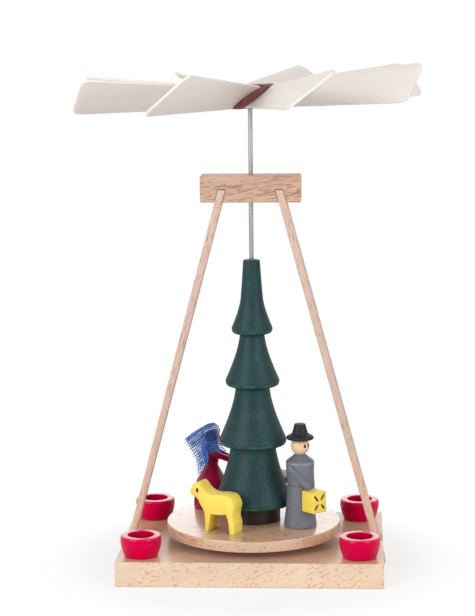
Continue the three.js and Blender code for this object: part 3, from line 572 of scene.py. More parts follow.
# The edges of the veil's left half, from the head's centre
VEIL_RIDGE = ((0.9, 0, 5.9), (-2, 0, 5.5), (-6.6, 0, 2.9), (-11, 0, -0.3))
VEIL_FRONT = ((0.9, 0, 5.9), (2.2, 1.9, 4.2), (2.8, 3.3, 1.9), (2.4, 4.2, -0.6), (5.8, 5.1, -4.6))
VEIL_REAR = (
    (-11, 0, -0.3), (-9.4, 2.4, -3), (-6.7, 4.6, -7.1), (-5.6, 5.7, -10.7), (-5.4, 6.3, -14)
)
VEIL_BOTTOM = (
    (5.8, 5.1, -4.6), (-0.8, 5.7, -5.5), (-1.3, 5.8, -6.9), (-2.1, 6, -10.9), (-5.4, 6.3, -14)
)
VEIL_FOLDS, VEIL_FOLD_DEPTH, VEIL_CLEAR, VEIL_CREASE = 2.5, 0.4, 0.6, 0.16
FIRST_GAP, FRINGE_L, FRINGE_ROOT, FRINGE_WANDER = 0.095, 1.25, 0.93, 0.45

CRIB_DISTANCE, CRIB_AZIMUTH, CRIB_EDGE = 23.5, 58.0, 0.15
CHILD_L, CHILD_R, CHILD_NECK_R, CHILD_HEAD_R = 9.6, 2.0, 1.2, 1.8


def figure_place(distance, azimuth, faces=0):
    """The frame of a figure on the plate: x is the way it faces."""
    east = distance * math.cos(math.radians(azimuth))
    north = distance * math.sin(math.radians(azimuth))
    return at(east, north, PLATE_TOP) @ turn("Z", faces)


# ---- Stage

CAMERA_AT = (0.04239, -0.78721, 0.23213)
CAMERA_YAW, CAMERA_DOWN, CAMERA_ROLL = 0.06113, 0.16026, -0.00974
FOCAL_PIXELS, PHOTO_WIDTH, SENSOR_MM = 1987.49, 475, 36
CLIP_NEAR, CLIP_FAR = 0.01, 20

LAMP_AIM = Vector((0, 0, 0.07))
LAMPS = (
    # name, place, width and watts
    ("lamp_above", (-0.1, -0.1, 1.3), 0.9, 1.5),
    ("lamp_left", (-0.9, -1.05, 0.6), 0.9, 12.8),
    ("lamp_right", (1.05, -0.9, 0.6), 0.9, 9.6),
    ("lamp_behind", (0, 1.5, 0.38), 1.1, 4),
)
# The sky's strength for soft light, and in reflections before and behind the object
SKY_SOFT, SKY_FRONT, SKY_BACK = 0.42, 0.1, 1.0
SKY_TURN = (-0.55, 0.1)
# How white the camera sees the floor: near the object, and how far out it turns white
FLOOR_LIFT, FLOOR_NEAR, FLOOR_FAR = 0.7, 55, 92
FLOOR_HALF = 4
WHITE = (1, 1, 1, 1)


def add_camera():
    """The camera at the photograph's viewing angle."""
    flat = math.cos(CAMERA_DOWN)
    heading = -math.sin(CAMERA_YAW) * flat, math.cos(CAMERA_YAW) * flat
    ahead = Vector((*heading, -math.sin(CAMERA_DOWN)))
    level = Vector((math.cos(CAMERA_YAW), math.sin(CAMERA_YAW), 0))
    over = level.cross(ahead)
    across = math.cos(CAMERA_ROLL) * level + math.sin(CAMERA_ROLL) * over
    upward = -math.sin(CAMERA_ROLL) * level + math.cos(CAMERA_ROLL) * over
    camera = new_object("camera", bpy.data.cameras.new("camera"))
    camera.data.sensor_fit = "HORIZONTAL"
    camera.data.sensor_width = SENSOR_MM
    camera.data.lens = FOCAL_PIXELS * SENSOR_MM / PHOTO_WIDTH
    camera.data.clip_start = CLIP_NEAR
    camera.data.clip_end = CLIP_FAR
    camera.matrix_world = Matrix.Translation(CAMERA_AT) @ axes(across, upward, -ahead)
    bpy.context.scene.camera = camera


def add_lamp(name, place, width, watts):
    """A square soft lamp."""
    light = bpy.data.lights.new(name, "AREA")
    light.shape = "SQUARE"
    light.size = width
    light.energy = watts
    lamp = new_object(name, light)
    lamp.location = place
    lamp.rotation_euler = (LAMP_AIM - Vector(place)).to_track_quat("-Z", "Y").to_euler()


def add_floor():
    """A pale floor that keeps the object's shadow; further out the camera sees it as white."""
    finish = Finish("pale_floor")
    mottle = finish.patches((40, 40, 40), 0.3, 0.7, 3)
    pale = finish.mix(linear("#f1efed"), linear("#efedeb"), mottle)
    matt = finish.node("BsdfDiffuse", None, {"Color": pale})
    white = finish.node("Emission", None, {"Color": WHITE, "Strength": 1})
    away = finish.ramp(finish.vector("LENGTH", finish.where, output="Value"), FLOOR_NEAR, FLOOR_FAR)
    lift = FLOOR_LIFT + (1 - FLOOR_LIFT) * away
    seen = finish.node("LightPath", output="Is Camera Ray")
    both = finish.node("MixShader", None, {0: lift * seen, 1: matt, 2: white})
    finish.node("OutputMaterial", None, {"Surface": both})
    shape = bmesh.new()
    bmesh.ops.create_grid(shape, x_segments=8, y_segments=8, size=FLOOR_HALF)
    new_object("floor", new_mesh("floor", shape, finish.material))


class Sky(Finish):
    """The studio's walls: white to the camera, soft as light, and dim in front in reflections."""

    def __init__(self):
        world = bpy.data.worlds.new("studio")
        world.use_nodes = True
        bpy.context.scene.world = world
        self.tree = world.node_tree
        self.tree.nodes.clear()
        away = self.part("Y", self.node("TexCoord", output="Generated"))
        in_mirror = SKY_FRONT + (SKY_BACK - SKY_FRONT) * self.ramp(away, *SKY_TURN)
        glossy = self.node("LightPath", output="Is Glossy Ray")
        seen = self.node("LightPath", output="Is Camera Ray")
        strength = SKY_SOFT + glossy * (in_mirror - SKY_SOFT)
        strength = strength + seen * (1 - strength)
        background = self.node("Background", None, {"Color": WHITE, "Strength": strength})
        self.node("OutputWorld", None, {"Surface": background})


class PYRAMID_OT_stage(bpy.types.Operator):
    """Adds the camera, the floor and the soft studio light"""

    bl_idname = "pyramid.stage"
    bl_label = "Stage"

    def execute(self, context):
        add_camera()
        Sky()
        add_floor()
        for lamp in LAMPS:
            add_lamp(*lamp)
        context.scene.view_settings.view_transform = "Standard"
        return {"FINISHED"}


# ---- Stand


def snug_top(leg, bar_low):
    """Lets a leg fill more of its kerf in the crossbar, above the crossbar's underside."""
    whole = leg.verts[:] + leg.edges[:] + leg.faces[:]
    cut = {"plane_co": (0, 0, bar_low + KERF_FIT), "plane_no": (0, 0, 1)}
    bmesh.ops.bisect_plane(leg, geom=whole, **cut)
    housed = [v for v in leg.verts if v.co.z > bar_low + KERF_FIT / 2]
    for z in {round(v.co.z, 2) for v in housed}:
        level = [v for v in housed if round(v.co.z, 2) == z]
        middle = sum(v.co.x for v in level) / len(level)
        for vert in level:
            vert.co.x += math.copysign(KERF_FIT, vert.co.x - middle)
    return leg


class PYRAMID_OT_board(bpy.types.Operator):
    """Finishes the base board, crossbar and legs in beech"""

    bl_idname = "pyramid.board"
    bl_label = "Board, crossbar and legs"

    def execute(self, context):
        # The board's top factor is painted shade: its upward faces are darker and redder
        board = sawn_wood(
            "beech_board", at(3, 0, 4) @ turn("Y", -22), "board", 0.84, "#cf9468", (2.1, 0.9),
            flecks=0.64, scarce=0.55, varnish=(0.6, 0.25, 1.6), top=(0.86, 0.7, 0.66),
        )
        dress_node("base_board", board)
        bar_low = height_of("crossbar")[0]
        bar = sawn_wood(
            "beech_crossbar", at(0, 0, bar_low) @ turn("Y", -8), "crossbar", 0.72, "#946650",
            (3.8, 0.5), flecks=0.68, scarce=0.5, varnish=(0.1, 0.3, 1.5), shift=5,
        )
        dress_node("crossbar", bar)
        for side, node in ((-1, "left_leg"), (1, "right_leg")):
            along = at(side * LEG_X, 0, LEG_Z) @ turn("Y", side * LEG_TURN)
            # The foot factor is painted light: each leg is warmer and lighter towards the board
            finish = sawn_wood(
                f"beech_{node}", along, "beech", 0.84, "#a06a55", (5, 0.4), scarce=0.55, grain=0.5,
                varnish=(0.15, 0.3, 1.5), foot=((1.2, 1.1, 1), side), shift=20 + 7 * side,
            )
            leg = eased(snug_top(of_node(node), bar_low), 0.6 * sizes("edge"), 2)
            add_piece(f"sawn_{node}", leg, finish, node, body="stand")
        return {"FINISHED"}


class PYRAMID_OT_cups(bpy.types.Operator):
    """Adds the four turned candle cups"""

    bl_idname = "pyramid.cups"
    bl_label = "Candle cups"

    def execute(self, context):
        bore, rim_w, height, floor, edge = sizes(
            "cup_bore", "cup_rim", "cup_height", "cup_floor", "edge"
        )
        rim = bore + rim_w
        widest = rim + CUP_SHOULDER
        foot = widest - CUP_TAPER
        profile = Profile(0, -SPIGOT_L).line(SPIGOT_R - edge, -SPIGOT_L, SPIGOT_R, edge - SPIGOT_L)
        profile.line(SPIGOT_R, 0, foot - 2 * edge, 0)
        profile.curve((foot, 0), (foot + 0.1 * CUP_TAPER, 0.1 * height))
        swell = widest - 0.1 * CUP_TAPER, 0.45 * height
        profile.curve(swell, (widest, 0.74 * height), 12).curve((widest, height), (rim, height), 12)
        profile.line(bore + 0.7 * edge, height).curve((bore, height), (bore, height - 0.8 * edge))
        profile.line(bore, floor + edge).curve((bore, floor), (bore - edge, floor)).line(0, floor)
        for place in ("front_left", "front_right", "rear_left", "rear_right"):
            node = f"candle_cup_{place}"
            low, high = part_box(node)
            middle = (low + high) / 2 / MM
            spot = at(middle.x, middle.y, BOARD_TOP)
            finish = self.crimson(f"crimson_{place}", spot, bore, height, middle.x)
            cup = spun(profile, 96)
            add_piece(f"turned_cup_{place}", cup, finish, node, spot, body="stand")
        return {"FINISHED"}

    def crimson(self, name, place, bore, height, shift):
        """Gloss paint, thickest and shiniest on the rim, with painted shade down in the bore."""
        finish = Finish(name, place)
        streaks = finish.patches((0.5, 0.5, 6), 0.32, 0.68, 3, 0.6, shift=shift)
        clouds = finish.patches((5, 5, 4), 0.3, 0.7, shift=shift + 13)
        level = finish.part("Z")
        across = finish.vector("MULTIPLY", finish.where, (1, 1, 0))
        reach = finish.vector("LENGTH", across, output="Value")
        below = 1 - finish.ramp(level, height - 0.9, height)
        # Painted shade: the bore is darkened below the rim
        bore_shade = (1 - finish.ramp(reach, bore - 0.05, bore + 0.2)) * below
        rim = finish.ramp(level, height - 0.9, height - 0.2)
        shoulder = finish.band(level, 0.72 * height, 0.4, 1.2) * clouds
        toned = finish.toned("cups", 0.8, 0.3 * streaks + 0.4 * clouds)
        return finish.done(
            finish.mix(toned, shade("cups", 0.5), 0.35 * bore_shade),
            0.32 + 0.08 * streaks,
            0.6 * streaks + 0.8 * clouds,
            0.04,
            (0.03 + 0.75 * rim + 0.14 * shoulder, 0.2, 1.5),
            Specular_IOR_Level=0.4,
            Specular_Tint=(*colour("cups"), 1),
        )


class PYRAMID_OT_axle(bpy.types.Operator):
    """Adds the steel axle and the brass cup that it turns in"""

    bl_idname = "pyramid.axle"
    bl_label = "Axle and bearing"

    def execute(self, context):
        low, high = height_of("axle")
        radius = sizes("axle_radius")
        steel = bare_metal(
            "polished_steel", None, "#c6c6c8", "#a6a6aa", (0.12, 0.12, 14), (0.42, 0.12), 0.01
        )
        profile = Profile(0, low).line(AXLE_TIP_R, low + 0.05, radius, low + AXLE_POINT_L)
        profile.line(radius, high - AXLE_EDGE, radius - AXLE_EDGE, high, 0, high)
        add_piece("steel_axle", spun(profile, 32), steel, "axle")
        low, high = height_of("bearing_cup")
        brass = bare_metal(
            "turned_brass", at(0, 0, low), "#c39a52", "#95702f", (2, 2, 0.15), (0.28, 0.14), 0.02
        )
        inner = BEARING_R - BEARING_EDGE
        profile = Profile(0, low).line(inner, low, BEARING_R, low + BEARING_EDGE)
        profile.line(BEARING_R, high - BEARING_EDGE, inner, high, DISH_R, high)
        profile.curve((0.7, high - 1.7), (0, high - DISH_DEPTH))
        cup = spun(profile, 48)
        add_piece("brass_bearing", cup, brass, "bearing_cup", body="stand")
        return {"FINISHED"}


# ---- Plate and tree


class PYRAMID_OT_plate(bpy.types.Operator):
    """Adds the turned plate that carries the figures"""

    bl_idname = "pyramid.plate"
    bl_label = "Turntable"

    def execute(self, context):
        hole, edge = sizes("shaft_hole", "edge")
        inner = PLATE_R - edge
        profile = Profile(hole, PLATE_LOW).line(inner, PLATE_LOW)
        profile.curve((PLATE_R, PLATE_LOW), (PLATE_R, PLATE_LOW + edge), 4)
        profile.line(PLATE_R, PLATE_TOP - edge).curve((PLATE_R, PLATE_TOP), (inner, PLATE_TOP), 4)
        profile.line(hole, PLATE_TOP, hole, PLATE_LOW)
        finish = sawn_wood(
            "beech_plate", at(0, 0, PLATE_LOW) @ turn("Z", -50) @ turn("Y", 4), "plate", 0.78,
            "#7a553f", (9, 0.55), flecks=0.8, varnish=(1, 0.2, 1.9), shift=3,
        )
        add_piece("turned_plate", spun(profile, 160), finish, "turntable")
        return {"FINISHED"}


class PYRAMID_OT_tree(bpy.types.Operator):
    """Adds the turned tree and its trunk"""

    bl_idname = "pyramid.tree"
    bl_label = "Tree"

    def execute(self, context):
        hole, lip, undercut = sizes("shaft_hole", "lip_height", "lip_undercut")
        trunk_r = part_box("tree_trunk")[1].x / MM
        low, high = height_of("tree_trunk")
        profile = Profile(hole, low).line(trunk_r - 0.3, low)
        profile.curve((trunk_r, low), (trunk_r, low + 0.3), 3)
        profile.line(trunk_r, high - 0.4, trunk_r - 0.4, high, hole, high, hole, low)
        varnish = (0.08, 0.3, 1.5)
        stain = turned_paint(
            "trunk_stain", at(0, 0, low), "trunk", 0.6, "#5b4a45", varnish, level=0.35
        )
        add_piece("turned_trunk", spun(profile, 96), stain, "tree_trunk")

        profile = Profile(hole, 0).line(trunk_r, 0)
        for rim_r, rim_z, neck_r, neck_z in TIERS:
            edge_z = rim_z - lip
            profile.line(rim_r - undercut, edge_z)
            profile.curve((rim_r, edge_z + 0.1 * lip), (rim_r, rim_z))
            flare_r, flare_z = rim_r - neck_r, neck_z - rim_z
            leave = rim_r - 0.08 * flare_r, rim_z + 0.08 * flare_z
            arrive = neck_r + 0.1 * flare_r, neck_z - 0.4 * flare_z
            profile.bend(leave, arrive, (neck_r, neck_z), 20)
        middle = 1.12 * SPIRE_R, (neck_z + SPIRE_TOP) / 2
        profile.curve(middle, (SPIRE_R, SPIRE_TOP - SPIRE_ROUND), 16)
        profile.curve((SPIRE_R, SPIRE_TOP), (SPIRE_R - SPIRE_ROUND, SPIRE_TOP), 6)
        profile.line(hole, SPIRE_TOP, hole, 0)
        place = at(0, 0, TREE_FOOT)
        tree = spun(profile, 128)
        add_piece("turned_tree", tree, self.green(place), "tree_body", place, 50)
        return {"FINISHED"}

    def green(self, place):
        """Satin green paint over turned wood, with a painted highlight on each lip and lighter
        where it is rubbed.
        """
        finish = Finish("tree_green_paint", place)
        height = finish.part("Z")
        streaks = finish.patches((0.5, 0.5, 7), 0.32, 0.68, 3, 0.6)
        clouds = finish.patches((7, 7, 16), 0.3, 0.7, shift=4)
        specks = finish.patches((0.3, 0.3, 1.1), 0.66, 0.75, 1, shift=8)
        worn = finish.patches((0.5, 0.5, 2.4), 0.56, 0.72, 2, 0.6, 1.2, 12)
        rub_and_sheen = finish.patches((5, 5, 9), 0.44, 0.58, shift=16)
        # Painted highlight: a lighter band just under each lip's rim
        lip_highlights = 0
        for _, rim_z, _, _ in TIERS:
            lip_highlights = finish.band(height, rim_z - 1.0, 0.15, 0.5) + lip_highlights
        highlight_and_wear = 0.4 * (lip_highlights * (0.25 + 0.75 * rub_and_sheen)) + 0.42 * (worn * rub_and_sheen)
        toned = finish.toned("tree", 0.62, 0.4 * streaks + 0.4 * clouds)
        # The lighter green is painted highlight on the lips and rubbed paint in the scuffs
        lit = finish.mix(toned, linear("#3b7c66"), highlight_and_wear)
        return finish.done(
            finish.mix(lit, linear("#6d8c86"), 0.25 * specks),
            0.5 + 0.12 * streaks - 0.1 * worn,
            0.7 * streaks + 0.5 * specks,
            0.035,
            (0.08, 0.3, 1.5),
            Specular_IOR_Level=0.22,
        )


# ---- Fan


def blade_half_width(reach):
    share = (reach - HUB_R) / (BLADE_REACH - HUB_R)
    return (BLADE_ROOT_W + (BLADE_TIP_W - BLADE_ROOT_W) * share) / 2


def blade_outline():
    """Half the blade is drawn from root to tip, and the other half mirrors it."""
    tip = blade_half_width(BLADE_REACH)
    before = BLADE_REACH - BLADE_CORNER
    half = Profile(BLADE_ROOT_X, -blade_half_width(BLADE_ROOT_X))
    half.line(before, -blade_half_width(before))
    half.curve((BLADE_REACH, -tip), (BLADE_REACH, BLADE_CORNER - tip), 8)
    return [p.xy for p in half.points] + [Vector((p.x, -p.y)) for p in reversed(half.points)]


class PYRAMID_OT_fan(bpy.types.Operator):
    """Adds the hub and its eight pitched blades"""

    bl_idname = "pyramid.fan"
    bl_label = "Fan"

    def execute(self, context):
        lean = at(0, 0, FAN_CENTRE_Z) @ turn("Y", FAN_LEAN_Y) @ turn("X", FAN_LEAN_X)
        stain = turned_paint(
            "hub_stain", lean, "hub", 0.7, "#a8706a", (0.1, 0.3, 1.5), grain_mm=(0.6, 0.6, 5),
            specks=0.3,
        )
        add_piece("turned_hub", of_node("fan_hub"), stain, "fan_hub", crease=30)
        group = context.scene.pyramid_sizes
        for i, trim in enumerate(BLADE_TRIMS):
            arm = lean @ turn("Z", SLOT_TURN + i * 360 / BLADE_COUNT) @ at(0, SLOT_OFFSET, 0)
            pitch = group.blade_pitch - math.radians(trim)
            rise = Matrix.Rotation(-group.blade_rise, 4, "Y")
            place = arm @ rise @ Matrix.Rotation(pitch, 4, "X")
            finish = sawn_wood(
                f"limewood_blade_{i + 1}", place, "blades", 0.9, "#c2ae9c", (7, 0.3), flecks=0.25,
                scarce=0.62, grain=0.5, varnish=(0, 0.3, 1.5), shift=11 * i,
            )
            # The outline is drawn in x and z, so the shape is turned flat before it is placed
            upright = sawn(blade_outline(), sizes("blade_thickness"), BLADE_EDGE)
            shape = moved(upright, turn("X", -90))
            node = f"fan_blade_{i + 1}"
            add_piece(f"sawn_blade_{i + 1}", shape, finish, node, place)
        return {"FINISHED"}


# ---- Figures


def slat(shoulder, hand):
    """A flat arm from a round shoulder to a square hand."""
    shoulder = Vector(shoulder)
    along = Vector(hand) - shoulder
    half = ARM_W / 2
    reach = along.length + half
    outline = Profile(0, -half).line(reach, -half, reach, half, 0, half)
    outline.arc((0, 0), half, math.pi / 2, 3 * math.pi / 2, 10)
    shape = sawn([p.xy for p in outline.points[:-1]], ARM_T, 0.3)
    along.normalize()
    outward = Vector((0, 0, 1)).cross(along).normalized()
    return moved(shape, Matrix.Translation(shoulder) @ axes(along, outward, along.cross(outward)))


def ball_head(radius, hat_seat, centre):
    """A round head with a flat seat below and above."""
    seat = -math.sqrt(radius**2 - NECK_R**2)
    start, stop = math.asin(seat / radius), math.acos(hat_seat / radius)
    profile = Profile(0, seat).line(NECK_R, seat).arc((0, 0), radius, start, stop, 28)
    return moved(spun(profile.line(0, radius * math.sin(stop)), 64), shifted(*centre))


def dab(place, width, height, thick=0.12, shape=None):
    """A dab of paint, flat against what it lies on; its own z points out."""
    if shape is None:
        shape = bmesh.new()
    matrix = place @ stretched(width, height, thick)
    bmesh.ops.create_uvsphere(shape, u_segments=20, v_segments=10, radius=0.5, matrix=matrix)
    return shape


def on_ball(centre, radius, turn_deg, rise_deg):
    """A place on a ball, in millimetres, whose z points out and y up."""
    facing = turn("Z", turn_deg) @ turn("Y", -rise_deg) @ turn("Z", 90) @ turn("X", 90)
    return shifted(*centre) @ facing @ shifted(0, 0, radius)


def yellow_paint(name, place, shift):
    """Thin yellow paint that lets the grain through, with the grain along the piece's own x."""
    finish = Finish(name, place)
    streaks = finish.patches((9, 0.5, 0.5), 0.3, 0.7, 3, 0.6, shift=shift)
    lines = finish.patches((12, 0.22, 0.22), 0.6, 0.72, 1, shift=shift + 5)
    clouds = finish.patches((9, 6, 6), 0.3, 0.7, shift=shift + 3)
    toned = finish.mix(colour("sheep"), linear("#e8c548"), 0.3 * streaks + 0.35 * clouds)
    lined = finish.mix(toned, linear("#d8a92c"), 0.45 * lines)
    bump = 0.7 * streaks - 0.5 * lines
    return finish.done(lined, 0.42 + 0.12 * streaks, bump, 0.04, (0.15, 0.3, 1.5))


class PYRAMID_OT_shepherd(bpy.types.Operator):
    """Adds the shepherd with hat and lantern"""

    bl_idname = "pyramid.shepherd"
    bl_label = "Shepherd"

    def execute(self, context):
        place = figure_place(SHEPHERD_DISTANCE, SHEPHERD_AZIMUTH, SHEPHERD_FACES)
        grey = self.coat_paint(place)
        profile = Profile(0, 0).line(COAT_FOOT_R - 0.8, 0)
        profile.curve((COAT_FOOT_R, 0), (COAT_FOOT_R, 0.9), 4)
        profile.curve((1.06 * COAT_WAIST_R, COAT_WAIST_Z / 2), (COAT_WAIST_R, COAT_WAIST_Z), 14)
        profile.line(COAT_WAIST_R + COAT_SEAM, COAT_WAIST_Z + COAT_SEAM)
        profile.line(COAT_CHEST_R, COAT_SHOULDER_Z)
        slope = COAT_NECK_Z - COAT_SHOULDER_Z
        shoulder = 0.97 * COAT_CHEST_R, COAT_SHOULDER_Z + 0.24 * slope
        profile.curve(shoulder, (0.82 * COAT_CHEST_R, COAT_SHOULDER_Z + 0.36 * slope), 6)
        profile.line(NECK_R, COAT_NECK_Z, 0, COAT_NECK_Z)
        add_piece("turned_coat", spun(profile, 80), grey, "shepherd_coat", place, 25)

        head_z = COAT_NECK_Z + math.sqrt(SHEPHERD_HEAD_R**2 - NECK_R**2)
        self.add_head(place, Vector((0, 0, head_z)))
        self.add_hat(place, head_z + math.sqrt(SHEPHERD_HEAD_R**2 - HAT_SEAT_R**2))
        side, top = COAT_CHEST_R + ARM_T / 2, COAT_SHOULDER_Z - 1.4
        wrist = (LANTERN_X - 1.3, -2.4, LANTERN_TOP + ARM_W / 2 + 0.6)
        right = slat((1.1, 0.7 - side, top - 0.3), wrist)
        add_piece("sawn_right_arm", right, grey, "shepherd_right_arm", place)
        left = slat((-1, side - 0.2, top), (-0.6, side + 0.1, LANTERN_TOP - 0.6))
        add_piece("sawn_left_arm", left, grey, "shepherd_left_arm", place)
        self.add_lantern(place)
        return {"FINISHED"}

    def coat_paint(self, place):
        """Satin grey paint with painted shade in the seam, a painted highlight on the shoulder and
        chips at the foot.
        """
        finish = Finish("coat_paint", place)
        height = finish.part("Z")
        streaks = finish.patches((0.4, 0.4, 5), 0.32, 0.68, 3, 0.6)
        clouds = finish.patches((6, 6, 9), 0.3, 0.7, shift=13)
        chips = finish.patches((0.7, 0.7, 0.5), 0.56, 0.62, 1, shift=29)
        # Painted shade: a dark band in the waist seam
        seam_shade = finish.band(height, COAT_WAIST_Z, 0.1, 0.35)
        # Painted highlight: a lighter band along the shoulder edge
        rub_and_sheen = finish.band(height, COAT_SHOULDER_Z, 0.15, 0.5) * (0.4 + 0.6 * clouds)
        foot = finish.band(height, 0.2, 0.35, 0.3) * chips
        toned = finish.toned("coat", 0.72, 0.35 * streaks + 0.35 * clouds)
        dark = finish.mix(toned, shade("coat", 0.4), 0.6 * seam_shade)
        # The lighter grey is painted highlight at the shoulder and chipped paint at the foot
        worn = finish.mix(dark, linear("#b4b7bc"), 0.35 * rub_and_sheen + 0.7 * foot)
        bump = 0.7 * streaks - 0.6 * foot - 0.5 * seam_shade
        return finish.done(worn, 0.45 + 0.1 * streaks, bump, 0.04, (0.12, 0.25, 1.5))

    def add_head(self, place, centre):
        maple = sawn_wood(
            "maple_head", place @ turn("Y", 90), "skin", 0.82, "#c99a70", (2, 0.3), flecks=0.3,
            varnish=(0.1, 0.3, 1.5),
        )
        head = ball_head(SHEPHERD_HEAD_R, HAT_SEAT_R, centre)
        add_piece("turned_head", head, maple, "shepherd_head", place)
        eye_paint = mark_paint("eye_paint", place, colour("marks"))
        for name, side in (("right", -1), ("left", 1)):
            spot = on_ball(centre, SHEPHERD_HEAD_R, FACE_TURN + side * EYE_TURN, EYE_RISE)
            eye = dab(spot, *EYE_SIZE)
            add_piece(f"shepherd_eye_{name}", eye, eye_paint, place=place)
        mouth_paint = mark_paint("mouth_paint", place, linear("#c06a60"))
        mouth = dab(on_ball(centre, SHEPHERD_HEAD_R, FACE_TURN, MOUTH_RISE), *MOUTH_SIZE)
        add_piece("shepherd_mouth", mouth, mouth_paint, place=place)

    def add_hat(self, place, hat_z):
        varnish = (0.05, 0.3, 1.5)
        black = turned_paint(
            "hat_paint", place, "hat", 0.6, "#55535c", varnish, specks=0.2, level=0.3
        )
        profile = Profile(0, 0).line(HAT_BRIM_R - 0.7, 0)
        profile.curve((HAT_BRIM_R, 0.1), (HAT_BRIM_R, HAT_BRIM_T / 2), 4)
        profile.curve((HAT_BRIM_R, HAT_BRIM_T), (HAT_BRIM_R - 0.6, HAT_BRIM_T * 1.2), 4)
        profile.line(HAT_BAND_R, HAT_BRIM_T * 2, HAT_CROWN_R, HAT_H - 0.5)
        profile.curve((HAT_CROWN_R, HAT_H), (HAT_CROWN_R - 0.5, HAT_H), 4).line(0, HAT_H)
        hat = moved(spun(profile, 64), shifted(0, 0, hat_z))
        add_piece("turned_hat", hat, black, "shepherd_hat", place, 30)

    def add_lantern(self, place):
        yellow = yellow_paint("lantern_paint", place @ turn("Y", 90), 17)
        lantern = bmesh.new()
        middle = shifted(LANTERN_X, 0, LANTERN_TOP - LANTERN_H / 2)
        size = stretched(LANTERN_W, LANTERN_W, LANTERN_H)
        bmesh.ops.create_cube(lantern, size=1, matrix=middle @ size)
        eased(lantern, sizes("edge"))
        add_piece("sawn_lantern", lantern, yellow, "lantern", place)
        strokes = bmesh.new()
        out = Vector((1, 0, 0))
        corner = Vector((LANTERN_X + LANTERN_W / 2, 0, LANTERN_TOP - LANTERN_H))
        for ends in LANTERN_STROKES:
            first, last = (corner + Vector((0, across, up)) for across, up in ends)
            along = (last - first).normalized()
            spot = Matrix.Translation((first + last) / 2) @ axes(along, out.cross(along), out)
            dab(spot, (last - first).length * STROKE_RUN, STROKE_W, STROKE_T, strokes)
        paint = mark_paint("stroke_paint", place, colour("marks"))
        add_piece("lantern_strokes", strokes, paint, place=place)


class PYRAMID_OT_sheep(bpy.types.Operator):
    """Adds the sheep, sawn from a flat strip"""

    bl_idname = "pyramid.sheep"
    bl_label = "Sheep"

    def execute(self, context):
        # The outline is in hundredths of the height
        outline = Profile(0, 0).line(-10, 0)
        outline.through((-11, 22), (-8, 32), (-8, 45), (-11, 62), (-1, 78), (18, 81))
        outline.through((41, 79), (58, 86), (72, 100), (83, 96), (91, 83))
        outline.through((89, 75), (75, 68), (68, 57), (59, 42), (57, 31), (56, 14))
        outline.line(58, 0, 50, 0, 47, 22, 43, 38)
        outline.curve((24, 37), (8, 41), 10).curve((0, 24), (0, 0), 10)
        points = [p.xy * SHEEP_H / 100 for p in outline.points[:-1]]
        heading = at(0, 0, PLATE_TOP) @ turn("Z", SHEEP_HEADING)
        place = heading @ at(SHEEP_FORWARD, SHEEP_DISTANCE, 0)
        yellow = yellow_paint("sheep_paint", place @ turn("Y", 90), 0)
        shape = sawn(points, SHEEP_THICK, SHEEP_EDGE)
        add_piece("sawn_sheep", shape, yellow, "sheep", place, 30)
        eye_paint = mark_paint("sheep_eye_paint", place, colour("marks"))
        ahead, up = SHEEP_EYE
        for name, side in (("left", 1), ("right", -1)):
            spot = shifted(ahead, side * SHEEP_THICK / 2, up) @ turn("X", -90 * side)
            eye = dab(spot, *SHEEP_EYE_SIZE)
            add_piece(f"sheep_eye_{name}", eye, eye_paint, place=place)
        return {"FINISHED"}


def dress_profile():
    profile = Profile(0, 0).line(DRESS_FOOT_R - 0.6, 0)
    profile.curve((DRESS_FOOT_R, 0), (DRESS_FOOT_R, 0.8), 4)
    profile.curve((DRESS_FOOT_R, DRESS_HIP_Z * 0.7), (DRESS_HIP_R, DRESS_HIP_Z), 12)
    rise = DRESS_WAIST_Z - DRESS_HIP_Z
    leave = 0.82 * DRESS_HIP_R, DRESS_HIP_Z + 0.34 * rise
    arrive = 1.26 * DRESS_WAIST_R, DRESS_WAIST_Z - 0.28 * rise
    profile.bend(leave, arrive, (DRESS_WAIST_R, DRESS_WAIST_Z)).line(DRESS_CHEST_R, DRESS_CHEST_Z)
    collar = DRESS_CHEST_R, (DRESS_CHEST_Z + DRESS_NECK_Z) / 2
    return profile.curve(collar, (NECK_R, DRESS_NECK_Z)).line(0, DRESS_NECK_Z)


